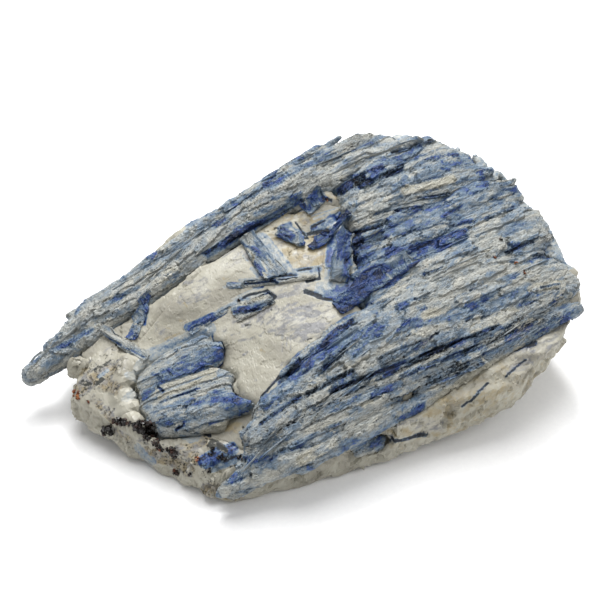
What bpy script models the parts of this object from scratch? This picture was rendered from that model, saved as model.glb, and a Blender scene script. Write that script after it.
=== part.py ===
"""Kyanite blade cluster: blue bladed crystals grown through milky quartz, one hand-sized specimen.

Frame: +X runs along the blades from the pointed tip to the broken end, +Z is up, and the origin is under
the middle of the specimen on the surface that it rests on. The shapes below are worked out in millimetres
in a drawing frame close to that one, and centre_on_origin() moves the finished pieces into place.
"""

import math
import random

import bmesh
import bpy
from mathutils import Euler, Vector, noise

MM = 0.001
GAP = 0.35  # clear space between two pieces that touch, mm
SEED = 20
WELD = 0.0005 * MM  # points this close are one, where a boolean left two

# Colour and roughness of each kind of crystal.
FINISHES = {
    "kyanite": ((0.16, 0.25, 0.42), 0.35),
    "deep_kyanite": ((0.03, 0.08, 0.32), 0.3),
    "quartz": ((0.62, 0.59, 0.50), 0.4),
    "biotite": ((0.05, 0.025, 0.015), 0.5),
    "iron_oxide": ((0.28, 0.11, 0.04), 0.7),
}

# Height of the specimen's upper surface above the table, mm. Rows are stations along the blades (X),
# columns are places across them (Y), so a row read left to right climbs from the near edge to the far crest.
ACROSS = (-45.0, -28.0, -8.0, 12.0, 30.0)
UPPER = (
    (-74.0, (2.0, 4.0, 8.0, 11.0, 14.0)),
    (-55.0, (3.0, 8.0, 11.0, 15.0, 18.0)),
    (-38.0, (6.0, 12.0, 14.0, 19.0, 22.5)),
    (-20.0, (12.0, 20.0, 21.0, 26.0, 29.0)),
    (0.0, (15.0, 27.0, 29.0, 33.0, 36.0)),
    (20.0, (18.0, 30.0, 35.0, 40.0, 42.0)),
    (40.0, (21.0, 32.0, 38.0, 45.0, 46.0)),
    (64.0, (22.0, 30.0, 38.0, 46.0, 46.0)),
)

# Where the blades begin and end along X, mm, as (Y, X) pairs. The broken end bulges in the middle, and the
# start of the main mass steps back round the quartz that shows between the near and far bundles.
BROKEN_END = (
    (-46, 58), (-43, 61), (-33, 62), (-17, 65), (-7, 64), (-3, 60), (8, 57), (14, 52), (24, 41), (31, 30),
)
MASS_START = ((-20, 6), (-10, 9), (-5, 13), (3, 16), (8, 19), (14, 18), (19, 10))
FAR_START = ((19, -50), (20, -62), (22, -73), (24, -65), (26, -58), (28, -55), (30, -52), (32, -46))
NEAR_START = ((-45, -30), (-40, -38), (-33, -36), (-29, -30), (-25, -22), (-22, -13), (-20, 0))
NEAR_LIFT = 5.0  # how far the near bundle's free end stands over the surface beside it, mm
NEAR_LIFT_END = -4.0  # X where that lift has died away

# Fracture faces that bound the quartz, mm: a point on the face, and the way it faces.
QUARTZ_FACES = (
    ((-66, 0, 8), (-0.97, -0.05, -0.14)),
    ((-59.5, -17, 2), (-0.72, -0.62, 0.26)),
    ((-48.5, -27, 2), (-0.90, -0.42, 0.14)),
    ((-54, 18, 10), (-0.66, 0.66, -0.30)),
    ((-17, -42.5, 4), (-0.20, -0.975, 0.03)),
    ((14, -52, 8), (-0.05, -0.97, 0.18)),
    ((30, -51, 9), (0.28, -0.93, -0.18)),
    ((46.5, -46, 13.5), (0.45, -0.76, -0.46)),
    ((57, -41.5, 17.5), (0.78, -0.46, -0.44)),
    ((60, -12, 20), (0.93, 0.18, -0.30)),
    ((50, 12, 22), (0.78, 0.62, -0.16)),
    ((22, 30, 24), (0.16, 0.97, 0.20)),
    ((0, 32, 12), (-0.06, 0.98, -0.26)),
    ((-34, 28, 12), (-0.30, 0.93, -0.20)),
    ((-56, -10, 1), (-0.35, 0.05, -0.94)),
    ((-5, -46, 2), (0.05, -0.44, -0.90)),
    ((30, -47, 3), (0.24, -0.40, -0.88)),
    ((48, -30, 5), (0.42, -0.20, -0.88)),
    ((30, 24, 4), (0.20, 0.50, -0.84)),
    ((-20, 26, 3), (-0.12, 0.52, -0.84)),
)
QUARTZ_CENTRE = (0.0, -8.0, 15.0)
QUARTZ_REACH = (70.0, 42.0, 24.0)  # how far the lump reaches along X, Y and Z, to spread its points evenly
QUARTZ_INSET = 2.2  # how far the quartz stays under the blades' upper surface, mm
QUARTZ_BASE = 0.3  # what lies lower than this is part of the flat that the specimen rests on, mm
QUARTZ_KEEP = 0.24  # share of the lump's triangles that are kept

# Bulges and hollows of the quartz that shows between the bundles, mm: centre X, Y, radius along X, Y, height.
QUARTZ_LUMPS = (
    (-22, 12, 17, 6, 2.0),
    (-31, 15, 8, 4, 1.0),
    (-13, -11, 11, 8, 2.2),
    (-24, -19, 6, 7, 1.0),
    (6, 11, 9, 6, -2.6),
    (12, 4, 5, 4, -2.4),
    (-50, 6, 8, 6, 1.2),
    (-56, -14, 6, 8, 1.2),
)


def between(table, at):
    """Reads a table of (position, value) pairs at a position, straight between its rows."""
    if at <= table[0][0]:
        return table[0][1]
    for (low, first), (high, last) in zip(table, table[1:]):
        if at <= high:
            return first + (last - first) * (at - low) / (high - low)
    return table[-1][1]


def upper(x, y):
    """Height of the specimen's upper surface, mm."""
    profile = tuple((station, between(tuple(zip(ACROSS, heights)), y)) for station, heights in UPPER)
    return between(profile, x)


def side_slope(x, y):
    """Angle at which the upper surface climbs towards +Y, in radians."""
    step = 2.0
    return math.atan2(upper(x, y + step) - upper(x, y - step), 2 * step)


def material(name, colour, roughness):
    """A plain finish of one colour."""
    made = bpy.data.materials.new(name)
    made.use_nodes = True
    shader = made.node_tree.nodes["Principled BSDF"]
    shader.inputs["Base Color"].default_value = (*colour, 1.0)
    shader.inputs["Roughness"].default_value = roughness
    shader.inputs["Metallic"].default_value = 0.0
    made.diffuse_color = (*colour, 1.0)
    return made


def add_object(name, mesh_builder, collection):
    """Turns a bmesh in millimetres into an object in metres."""
    for vertex in mesh_builder.verts:
        vertex.co *= MM
    mesh = bpy.data.meshes.new(name)
    mesh_builder.to_mesh(mesh)
    mesh_builder.free()
    made = bpy.data.objects.new(name, mesh)
    collection.objects.link(made)
    return made


def slab(name, collection, size, place, steps=1, taper=(1.0, 1.0), cut=(0.0, 0.0), grow=0.0):
    """One crystal: a box of that length, width and thickness, mm, cut into steps along its length.

    place(along, aside, above) gives the point for a distance along the crystal and offsets from its
    centreline. taper is the share of the width left at each end, and cut slants each end by that angle.
    """
    length, width, thickness = size
    builder = bmesh.new()
    bmesh.ops.create_cube(builder, size=1.0)
    for step in range(1, steps):
        bmesh.ops.bisect_plane(
            builder,
            geom=builder.verts[:] + builder.edges[:] + builder.faces[:],
            plane_co=(step / steps - 0.5, 0, 0),
            plane_no=(1, 0, 0),
        )
    for vertex in builder.verts:
        share = vertex.co.x + 0.5
        aside = vertex.co.y * (width * (taper[0] + (taper[1] - taper[0]) * share) + 2 * grow)
        above = vertex.co.z * (thickness + 2 * grow)
        slant = math.tan(cut[0]) * (1 - share) + math.tan(cut[1]) * share
        along = share * length + vertex.co.x * 2 * grow + aside * slant
        vertex.co = place(along, aside, above)
    return add_object(name, builder, collection)


def blade(name, collection, spec, grow=0.0):
    """A blade that lies in the upper surface, along X. spec holds its sizes in millimetres."""
    length = spec["end"] - spec["start"]
    steps = max(1, round(length / 22))
    middle_lane = spec["lane"] + spec.get("drift", 0.0) * length / 2
    roll = spec.get("roll", 0.0) + 0.8 * side_slope((spec["start"] + spec["end"]) / 2, middle_lane)

    def place(along, aside, above):
        x = spec["start"] + along
        lane = spec["lane"] + spec.get("drift", 0.0) * along
        share = min(1.0, max(0.0, along / length))
        sink = spec["sink"] + spec.get("dip", 0.0) * share
        height = upper(x, lane) - sink - spec["thickness"] / 2
        return Vector(
            (
                x,
                lane + aside * math.cos(roll) - above * math.sin(roll),
                height + aside * math.sin(roll) + above * math.cos(roll),
            )
        )

    size = (length, spec["width"], spec["thickness"])
    taper, cut = spec.get("taper", (1, 1)), spec.get("cut", (0, 0))
    return slab(name, collection, size, place, steps, taper, cut, grow)


def free_blade(name, collection, spec, grow=0.0):
    """A single straight crystal from one point to another, mm, turned about its own length by roll."""
    tail, head = Vector(spec["tail"]), Vector(spec["head"])
    forward = (head - tail).normalized()
    sideways = Vector((0, 0, 1)).cross(forward).normalized()
    normal = forward.cross(sideways)
    turn = math.radians(spec.get("roll", 0.0))
    across = sideways * math.cos(turn) + normal * math.sin(turn)
    out = normal * math.cos(turn) - sideways * math.sin(turn)

    def place(along, aside, above):
        return tail + forward * along + across * aside + out * above

    size = ((head - tail).length, spec["width"], spec.get("thickness", 2.6))
    cut = tuple(math.radians(angle) for angle in spec.get("cut", (0, 0)))
    return slab(name, collection, size, place, 1, spec.get("taper", (1, 1)), cut, grow)


def lane_blade(rng, start, end, lane, width, thickness, sink):
    """Sizes of one blade of a bundle, with the small differences that no two blades share."""
    return {
        "start": start,
        "end": end,
        "lane": lane,
        "width": width,
        "thickness": thickness,
        "sink": sink,
        "dip": rng.uniform(-0.8, 0.8),
        "drift": rng.uniform(-0.025, 0.025),
        "roll": math.radians(rng.uniform(-16, 16)),
        "taper": (rng.uniform(0.35, 1.0), rng.uniform(0.4, 1.0)),
        "cut": (math.radians(rng.uniform(-48, 48)), math.radians(rng.uniform(-48, 48))),
    }


def lanes(rng, low, high, width, start, end, sink, thickness, reach):
    """Blades laid side by side from Y low to Y high, and end to end along each lane, overlapping a little."""
    specs = []
    lane = low
    while lane < high:
        wide = width * rng.uniform(0.6, 1.4)
        first = between(start, lane) + rng.uniform(-1.0, 2.5)
        last = between(end, lane) - rng.uniform(-1.0, 3.0)
        while first < last - 6.0:
            stop = min(first + rng.uniform(*reach), last)
            if last - stop < 8.0:
                stop = last
            place = lane + rng.uniform(-0.5, 0.5)
            specs.append(
                lane_blade(rng, first, stop, place, wide * 1.15, rng.uniform(*thickness), rng.uniform(*sink))
            )
            first = stop - rng.uniform(3.0, 7.0)
            if stop == last:
                break
        lane += wide * 0.9
    return specs


def slivers(rng, count, low, high, start, end, width, reach):
    """Narrow blades scattered over a bundle, standing a little proud of it."""
    specs = []
    for index in range(count):
        lane = low + (high - low) * (index + rng.random()) / count
        first, last = between(start, lane) + 1.0, between(end, lane)
        length = min(rng.uniform(*reach), last - first)
        begin = first + (last - first - length) * rng.random()
        sink = rng.uniform(-1.3, -0.4)
        specs.append(
            lane_blade(rng, begin, begin + length, lane, rng.uniform(*width), rng.uniform(1.6, 2.6), sink)
        )
    return specs


def near_lift(x):
    """How far the near bundle stands over the upper surface at a place along it, mm."""
    share = (NEAR_LIFT_END - x) / (NEAR_LIFT_END - NEAR_START[1][1])
    return NEAR_LIFT * min(1.0, max(0.0, share))


def lift_near(specs):
    """Raises the free end of the near bundle over the surface beside it."""
    for spec in specs:
        lift_start, lift_end = (near_lift(spec[end]) for end in ("start", "end"))
        spec["sink"] -= lift_start
        spec["dip"] = spec.get("dip", 0.0) + lift_start - lift_end
    return specs


def core_slabs():
    """The thick inner crystals that the surface blades grow on. They also carry the broken end."""
    far = [
        {"start": -70, "end": -34, "lane": 21.8, "width": 4.8, "thickness": 6.5, "sink": 1.2},
        {"start": -52, "end": 26, "lane": 25.0, "width": 9.5, "thickness": 9.0, "sink": 1.4},
    ]
    rows = ((22, 8, 42, 8), (14, 20, 52, 10), (4, 18, 56, 12), (-7, 14, 60, 12), (-17, 8, 61, 10))
    mass = [
        {"start": start, "end": end, "lane": lane, "width": width, "thickness": 12.0, "sink": 2.2}
        for lane, start, end, width in rows
    ]
    near = [
        {"start": -16, "end": 58, "lane": -25, "width": 8.0, "thickness": 10.0, "sink": 2.0},
        {"start": -30, "end": 57, "lane": -31, "width": 8.0, "thickness": 9.0, "sink": 2.0},
        {"start": -34, "end": 56, "lane": -37, "width": 8.0, "thickness": 6.0, "sink": 2.0},
    ]
    for spec in far + mass + near:
        spec["cut"] = (math.radians(-12), math.radians(14))
    return far + mass + lift_near(near)


def mass_blades():
    """Every blade of the main intergrown mass, far bundle to near bundle."""
    rng = random.Random(SEED)
    specs = core_slabs()
    specs += lanes(rng, 21.0, 31.0, 3.0, FAR_START, BROKEN_END, (-0.4, 1.0), (2.0, 3.4), (38, 64))
    specs += lanes(rng, -18.0, 19.5, 4.6, MASS_START, BROKEN_END, (-0.4, 1.2), (2.2, 4.0), (20, 42))
    near = lanes(rng, -43.0, -20.0, 4.2, NEAR_START, BROKEN_END, (-0.4, 1.2), (2.2, 4.0), (30, 60))
    near += slivers(rng, 14, -42.0, -22.0, NEAR_START, BROKEN_END, (1.2, 2.6), (16, 44))
    specs += lift_near(near)
    specs += slivers(rng, 8, 21.0, 30.0, FAR_START, BROKEN_END, (1.2, 2.2), (24, 60))
    specs += slivers(rng, 18, -18.0, 19.0, MASS_START, BROKEN_END, (1.4, 3.0), (12, 30))
    return specs


def end_ledges():
    """Blades deeper in the stack that stick out of the broken end one under the other."""
    rng = random.Random(SEED + 1)
    specs = []
    for depth, nearest in ((6.0, -38), (10.5, -30)):
        for lane in range(nearest, 18, 8):
            specs.append(
                {
                    "start": 34 + rng.uniform(-4, 4),
                    "end": between(BROKEN_END, lane) - depth * 0.2 - rng.uniform(0, 4),
                    "lane": lane + rng.uniform(-2, 2),
                    "width": rng.uniform(6, 9),
                    "thickness": rng.uniform(3.0, 4.5),
                    "sink": depth,
                    "roll": math.radians(rng.uniform(-14, 14)),
                    "cut": (0.0, math.radians(rng.uniform(-35, 35))),
                }
            )
    return specs


def leaning_blades(seed, rows, lean, bow):
    """Blades on a side of the specimen, leaning by that many degrees.

    rows hold the X start, X end, Y, Z, width and rise of each blade, mm.
    """
    rng = random.Random(seed)
    return [
        {
            "tail": (start, lane, height),
            "head": (end, lane + bow * (end - start), height + rise),
            "width": width,
            "thickness": 3.0,
            "roll": lean + rng.uniform(-9, 9),
            "taper": (rng.uniform(0.5, 0.8), rng.uniform(0.6, 0.9)),
            "cut": (rng.uniform(-40, 40), rng.uniform(-40, 40)),
        }
        for start, end, lane, height, width, rise in rows
    ]


def front_blades():
    """The sliver bundle low on the near side."""
    rows = (
        (-47, -22, -36.0, 5.0, 4.0, 4.5),
        (-46, -6, -37.5, 8.0, 4.5, 7.0),
        (-44, -12, -39.0, 5.5, 3.6, 6.0),
        (-38, -2, -39.5, 9.5, 3.6, 6.5),
        (-32, 2, -40.5, 7.5, 3.0, 6.0),
        (-16, 3, -41.0, 10.5, 6.5, 3.5),
        (-12, -2, -43.2, 7.6, 5.0, -1.0),
    )
    return leaning_blades(SEED + 2, rows, 52, -0.03)


def back_blades():
    """Blades that show on the far side, below the crest."""
    rows = (
        (-44, 0, 29.5, 17, 6.0, 8.0),
        (-30, 26, 30.0, 22, 7.0, 9.0),
        (-8, 36, 29.5, 29, 6.0, 8.0),
        (-38, -6, 28.0, 11, 6.0, 3.0),
        (0, 40, 29.5, 25, 7.0, 7.0),
    )
    return leaning_blades(SEED + 3, rows, -68, -0.07)


def block_blade(start, end, width, thickness, sink, cut):
    """A blade of the left block, from one (X, Y) place to another."""
    return {
        "start": start[0],
        "end": end[0],
        "lane": start[1],
        "drift": (end[1] - start[1]) / (end[0] - start[0]),
        "width": width,
        "thickness": thickness,
        "sink": sink,
        "cut": tuple(math.radians(angle) for angle in cut),
    }


LEFT_BLOCK = (
    block_blade((-49, 2.6), (-27.5, -0.6), 4.6, 4.5, -1.0, (30, -8)),
    block_blade((-50, -1.0), (-26.5, -5.2), 4.6, 5.5, -1.4, (-20, 24)),
    block_blade((-51, -4.0), (-28.5, -10.6), 5.4, 5.0, -0.7, (16, -30)),
    block_blade((-52, -7.0), (-30.0, -16.0), 5.4, 5.0, -1.0, (-24, 14)),
    block_blade((-52, -9.6), (-30.0, -21.2), 5.6, 5.5, -1.6, (18, -36)),
    block_blade((-51, -13.0), (-35.0, -22.5), 4.6, 4.0, -0.6, (-12, 26)),
)

# Single crystals that lie in the quartz between the bundles, mm.
SINGLE_BLADES = {
    "deep_blue_blade": {
        "tail": (1, -15, 29),
        "head": (24, -14.5, 35),
        "width": 8,
        "taper": (0.7, 0.7),
        "roll": 14,
    },
    "crossing_blade": {"tail": (5.5, -9, 31), "head": (14.5, 2, 36.2), "width": 5.2, "roll": 18},
    "embedded_blade_end": {"tail": (-19.5, 1, 23.5), "head": (-9.5, -1.5, 27.6), "width": 4.6, "roll": 14},
    "blue_sliver_blade": {"tail": (-31, 4.4, 20), "head": (-18.5, 3, 24.6), "width": 1.9, "thickness": 1.8},
    "thin_edge_blade": {"tail": (-17, 8.5, 26.4), "head": (2, -4, 31), "width": 1.6, "thickness": 2.0},
    "pale_fan_blade": {
        "tail": (-5.5, 17.5, 32.4),
        "head": (-6, 2.5, 29.2),
        "width": 6.5,
        "taper": (0.7, 1.1),
    },
    "small_wedge_blade": {"tail": (1.5, 14.5, 34), "head": (5.5, 7, 33.4), "width": 3.8, "taper": (1.0, 0.5)},
    "pocket_blade": {
        "tail": (6, 5, 33.2),
        "head": (18.5, 5.6, 38.4),
        "width": 2.8,
        "thickness": 1.8,
        "roll": 12,
    },
    "upper_chip_blade": {"tail": (10, 14, 36.4), "head": (16.5, 15.4, 39.4), "width": 4.2, "roll": 14},
    "dark_wedge_blade": {
        "tail": (-43.5, 13, 17.6),
        "head": (-33, 20.6, 23.6),
        "width": 3.8,
        "taper": (1.0, 0.4),
    },
    "left_cross_blade": {"tail": (-48.5, 20, 19.4), "head": (-43, 4.5, 17.4), "width": 2.6, "roll": -6},
}

# Patches of dark mica and iron oxide on the near left corner, mm: first end, last end, spread, grains.
DARK_PATCHES = {
    "biotite_cluster": ((-61.0, -6.5), (-52.0, -14.0), 0.6, 7),
    "biotite_chain": ((-53.0, -19.0), (-50.5, -25.0), 0.2, 4),
    "rusty_grains": ((-63.0, 7.5), (-62.0, 3.5), 0.2, 3),
}


def quartz_inside(point):
    """True if the point, mm, lies in the quartz lump."""
    x, y, z = point
    for spot, facing in QUARTZ_FACES:
        out = Vector(facing).normalized()
        if (Vector(point) - Vector(spot)).dot(out) > 0:
            return False
    height = upper(x, y) - QUARTZ_INSET
    for cx, cy, rx, ry, rise in QUARTZ_LUMPS:
        height += rise * math.exp(-(((x - cx) / rx) ** 2) - ((y - cy) / ry) ** 2)
    return 0.0 < z < height


def quartz_lump(collection):
    """The quartz: a ball whose points are pushed out until they meet the fracture faces, then roughened."""
    builder = bmesh.new()
    bmesh.ops.create_icosphere(builder, subdivisions=5, radius=1.0)
    centre, reach = Vector(QUARTZ_CENTRE), Vector(QUARTZ_REACH)
    for vertex in builder.verts:
        ray = vertex.co * reach
        low, high = 0.0, 1.6
        for _ in range(14):
            middle = (low + high) / 2
            low, high = (middle, high) if quartz_inside(centre + ray * middle) else (low, middle)
        point = centre + ray * low
        if point.z > QUARTZ_BASE:
            rough = 1.3 * noise.noise(point * 0.14) + 0.7 * noise.noise(point * 0.33)
            point += vertex.co.normalized() * rough
        vertex.co = point
    lump = add_object("quartz_lump", builder, collection)
    fewer = lump.modifiers.new("fewer", "DECIMATE")
    fewer.ratio = QUARTZ_KEEP
    whole = solid_from(lump, "quartz_whole", collection)
    for vertex in whole.data.vertices:
        if vertex.co.z < QUARTZ_BASE * MM:
            vertex.co.z = 0.0
    return whole


def largest_body(builder):
    """Deletes everything but the largest connected body of a bmesh."""
    left, bodies = set(builder.verts), []
    while left:
        front = [left.pop()]
        body = set(front)
        while front:
            for edge in front.pop().link_edges:
                for vertex in edge.verts:
                    if vertex in left:
                        left.discard(vertex)
                        body.add(vertex)
                        front.append(vertex)
        bodies.append(body)
    bodies.sort(key=len)
    dropped = [vertex for body in bodies[:-1] for vertex in body]
    bmesh.ops.delete(builder, geom=dropped, context="VERTS")


def turn_doubled_edges(builder):
    """Where a diagonal cut across a flat face doubles an edge that is already there, cuts the other way."""
    for edge in [edge for edge in builder.edges if len(edge.link_faces) > 2]:
        first, last = edge.verts
        pairs = [
            (one, other)
            for one in edge.link_faces
            for other in edge.link_faces
            if one is not other and one.normal.dot(other.normal) > 0.99999
        ]
        for one, other in pairs:
            start = next(loop for loop in one.loops if loop.edge is edge).vert
            end = last if start is first else first
            tip = next(vertex for vertex in one.verts if vertex not in edge.verts)
            base = next(vertex for vertex in other.verts if vertex not in edge.verts)
            near_start = (base.co - start.co).cross(tip.co - start.co)
            near_end = (tip.co - end.co).cross(base.co - end.co)
            convex = min(near_start.dot(one.normal), near_end.dot(one.normal)) > 0
            if tip is base or builder.edges.get((tip, base)) or not convex:
                continue
            bmesh.ops.delete(builder, geom=[one, other], context="FACES_ONLY")
            builder.faces.new((start, base, tip))
            builder.faces.new((base, end, tip))
            break


def solid_from(source, name, collection):
    """The largest body of an object's evaluated mesh, as a new object. The source is removed."""
    graph = bpy.context.evaluated_depsgraph_get()
    mesh = bpy.data.meshes.new_from_object(source.evaluated_get(graph))
    bpy.data.objects.remove(source)
    builder = bmesh.new()
    builder.from_mesh(mesh)
    bmesh.ops.remove_doubles(builder, verts=builder.verts, dist=WELD)
    bmesh.ops.triangulate(builder, faces=builder.faces)
    turn_doubled_edges(builder)
    largest_body(builder)
    builder.to_mesh(mesh)
    builder.free()
    made = bpy.data.objects.new(name, mesh)
    collection.objects.link(made)
    return made


def boolean(target, operation, collection):
    """Joins a collection of solids to an object, or cuts them from it, with a modifier."""
    modifier = target.modifiers.new(operation.lower(), "BOOLEAN")
    modifier.operation = operation
    modifier.solver = "EXACT"
    modifier.operand_type = "COLLECTION"
    modifier.collection = collection


def new_collection(name, parent, helper=False):
    """A collection under another one. A helper's objects aren't part of the specimen."""
    made = bpy.data.collections.new(name)
    parent.children.link(made)
    made.hide_render = helper
    return made


def fused(name, parts, helpers, collection):
    """Crystals that grow into one another, joined in one solid."""
    group = new_collection(name + "_crystals", helpers, helper=True)
    base = parts[0]("base", helpers)
    for index, make in enumerate(parts[1:]):
        make(f"{name}_{index:03d}", group)
    boolean(base, "UNION", group)
    return solid_from(base, name, collection)


def grain(name, collection, centre, size, turn):
    """One dark grain: a small flattened eight-sided lump."""
    builder = bmesh.new()
    bmesh.ops.create_icosphere(builder, subdivisions=1, radius=size / 2)
    for vertex in builder.verts:
        flat = Vector((vertex.co.x, vertex.co.y, vertex.co.z * 0.7))
        flat.rotate(turn)
        vertex.co = flat + centre
    return add_object(name, builder, collection)


def patch_makers(patch, seed):
    """Makers for the grains of one dark patch, strung over the surface from its first end to its last."""
    first, last, spread, count = patch
    rng = random.Random(seed)
    makers = []
    for index in range(count):
        share = index / (count - 1)
        side = spread * (-1) ** index
        x = first[0] + (last[0] - first[0]) * share + 0.5 * side
        y = first[1] + (last[1] - first[1]) * share + side
        size = rng.uniform(2.8, 3.8)
        centre = Vector((x, y, upper(x, y) - QUARTZ_INSET + 0.3 * size))
        turn = Euler([rng.uniform(0, math.pi) for _ in range(3)])

        def make(name, collection, grow=0.0, centre=centre, size=size, turn=turn):
            return grain(name, collection, centre, size + 2 * grow, turn)

        makers.append(make)
    return makers


def grown(makers, grow):
    """The same makers, with every crystal larger by grow on all sides."""
    return [lambda name, collection, make=make: make(name, collection, grow=grow) for make in makers]


def makers_of(build, specs):
    """One maker for each spec, which builds it under a name, in a collection, with a growth."""
    return [
        lambda name, collection, grow=0.0, spec=spec: build(name, collection, spec, grow) for spec in specs
    ]


def pieces():
    """Every piece that lies in the quartz, in the order in which they cut each other: name and makers."""
    surface = makers_of(blade, mass_blades() + end_ledges())
    sides = makers_of(free_blade, front_blades() + back_blades())
    found = {"kyanite_blades": surface + sides}
    found["left_blade_block"] = makers_of(blade, LEFT_BLOCK)
    for name, spec in SINGLE_BLADES.items():
        found[name] = makers_of(free_blade, [spec])
    for seed, (name, patch) in enumerate(DARK_PATCHES.items()):
        found[name] = patch_makers(patch, seed)
    return found


def centre_on_origin(collection):
    """Moves every piece together, so that the specimen stands on the origin with its box centred there."""
    corners = [vertex.co for made in collection.objects for vertex in made.data.vertices]
    low = Vector([min(corner[axis] for corner in corners) for axis in range(3)])
    high = Vector([max(corner[axis] for corner in corners) for axis in range(3)])
    shift = Vector(((low.x + high.x) / 2, (low.y + high.y) / 2, low.z))
    for made in collection.objects:
        for vertex in made.data.vertices:
            vertex.co -= shift


def finish_of(name):
    """The name of a piece's finish."""
    if name == "rusty_grains":
        return "iron_oxide"
    if name in DARK_PATCHES:
        return "biotite"
    if name == "quartz_matrix":
        return "quartz"
    if name in ("kyanite_blades", "left_blade_block", "pale_fan_blade"):
        return "kyanite"
    return "deep_kyanite"


def cut_clear(made, sockets, cluster):
    """Cuts a piece clear of the sockets of the pieces before it, keeping its name."""
    name = made.name
    made.name = name + "_whole"
    boolean(made, "DIFFERENCE", sockets)
    solid_from(made, name, cluster)


def main():
    for old in list(bpy.data.objects):
        bpy.data.objects.remove(old)
    scene = bpy.context.scene.collection
    cluster = new_collection("kyanite_blade_cluster", scene)
    helpers = new_collection("helpers", scene, helper=True)
    sockets = new_collection("sockets", helpers, helper=True)
    finishes = {name: material(name, *look) for name, look in FINISHES.items()}

    for name, makers in pieces().items():
        if len(makers) > 1:
            made = fused(name, makers, helpers, cluster)
        else:
            made = solid_from(makers[0](name + "_box", helpers), name, cluster)
        if sockets.objects:
            cut_clear(made, sockets, cluster)
        for index, make in enumerate(grown(makers, GAP)):
            make(f"{name}_socket_{index:03d}", sockets)

    lump = quartz_lump(helpers)
    boolean(lump, "DIFFERENCE", sockets)
    solid_from(lump, "quartz_matrix", cluster)

    for made in cluster.objects:
        made.data.materials.clear()
        made.data.materials.append(finishes[finish_of(made.name)])
    centre_on_origin(cluster)
    for helper in list(helpers.all_objects):
        bpy.data.objects.remove(helper)


if __name__ == "__main__":
    main()
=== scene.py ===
"""Looks of the kyanite blade cluster: fibrous blue blades, milky quartz, mica and rust, on a pale floor.

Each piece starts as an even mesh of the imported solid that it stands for. Its surface is split in flat
facets, the way its mineral breaks, and coloured by strokes that are placed over the photograph. Fine fibres,
dark and rusty grains and a lump of quartz are laid on top. Lengths are millimetres unless a comment says
otherwise, and the meshes are made in metres.
"""

import math
import random
from collections import namedtuple
from contextlib import contextmanager

import bmesh
import bpy
import numpy as np
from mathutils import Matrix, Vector
from mathutils.bvhtree import BVHTree
from mathutils.kdtree import KDTree


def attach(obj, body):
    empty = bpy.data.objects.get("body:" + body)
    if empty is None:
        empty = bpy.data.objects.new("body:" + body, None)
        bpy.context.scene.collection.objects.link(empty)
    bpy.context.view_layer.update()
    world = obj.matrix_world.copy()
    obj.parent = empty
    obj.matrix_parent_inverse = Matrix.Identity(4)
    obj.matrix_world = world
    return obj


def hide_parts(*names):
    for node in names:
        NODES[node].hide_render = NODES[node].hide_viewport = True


MM = 0.001
SEED = 7

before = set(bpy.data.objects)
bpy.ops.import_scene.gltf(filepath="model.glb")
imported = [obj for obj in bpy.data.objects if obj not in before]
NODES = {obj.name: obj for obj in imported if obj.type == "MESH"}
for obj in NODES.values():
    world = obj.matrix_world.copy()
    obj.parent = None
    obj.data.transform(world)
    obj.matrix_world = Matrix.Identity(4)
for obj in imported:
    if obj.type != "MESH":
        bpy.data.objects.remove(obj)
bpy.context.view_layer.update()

# ---------------------------------------------------------------- camera, light and floor

TARGET = Vector((2.29, 8.41, 20.0)) * MM
CAMERA_AZIMUTH = math.radians(-32)
CAMERA_ELEVATION = math.radians(40)
CAMERA_DISTANCE = 0.433  # m
CAMERA_NEAREST = 0.01  # m
CAMERA_LENS = 100.0
SENSOR = 36.0
PHOTO_SIDE = 600.0  # pixels

TO_CAMERA = Vector(
    (
        math.sin(CAMERA_AZIMUTH) * math.cos(CAMERA_ELEVATION),
        -math.cos(CAMERA_AZIMUTH) * math.cos(CAMERA_ELEVATION),
        math.sin(CAMERA_ELEVATION),
    )
)
CAMERA_PLACE = TARGET + TO_CAMERA * CAMERA_DISTANCE
CAMERA_TURN = (-TO_CAMERA).to_track_quat("-Z", "Y")

SKY_STRENGTH = 0.52
# The soft square lights: where each hangs and how long its sides are, m, and its watts.
LIGHTS = {
    "overhead": ((0.10, 0.35, 0.95), 0.75, 8.0),
    "key": ((0.30, 0.50, 0.65), 0.25, 7.5),
    "fill": ((0.70, -0.60, 0.75), 0.60, 3.7),
}
FLOOR_HALF = 3.0  # m
FLOOR_GREYS = ((0.3, (0.90, 0.90, 0.905)), (0.7, (0.93, 0.93, 0.93)))


def link(made):
    bpy.context.scene.collection.objects.link(made)
    return made


def turned(name, data, place, turn):
    """A camera or light at a place, m, turned by a quaternion."""
    made = link(bpy.data.objects.new(name, data))
    made.location = place
    made.rotation_mode = "QUATERNION"
    made.rotation_quaternion = turn
    return made


def add_camera():
    data = bpy.data.cameras.new("camera")
    data.lens = CAMERA_LENS
    data.sensor_width = SENSOR
    data.clip_start = CAMERA_NEAREST
    bpy.context.scene.camera = turned("camera", data, CAMERA_PLACE, CAMERA_TURN)


def add_studio():
    world = bpy.data.worlds.new("studio")
    bpy.context.scene.world = world
    world.use_nodes = True
    sky = world.node_tree.nodes["Background"]
    sky.inputs["Color"].default_value = (1.0, 1.0, 1.0, 1.0)
    sky.inputs["Strength"].default_value = SKY_STRENGTH
    for name, (place, side, watts) in LIGHTS.items():
        data = bpy.data.lights.new(name, "AREA")
        data.size = side
        data.energy = watts
        turned(name, data, place, Vector(place).to_track_quat("Z", "Y"))
    bpy.context.scene.view_settings.view_transform = "Standard"


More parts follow.
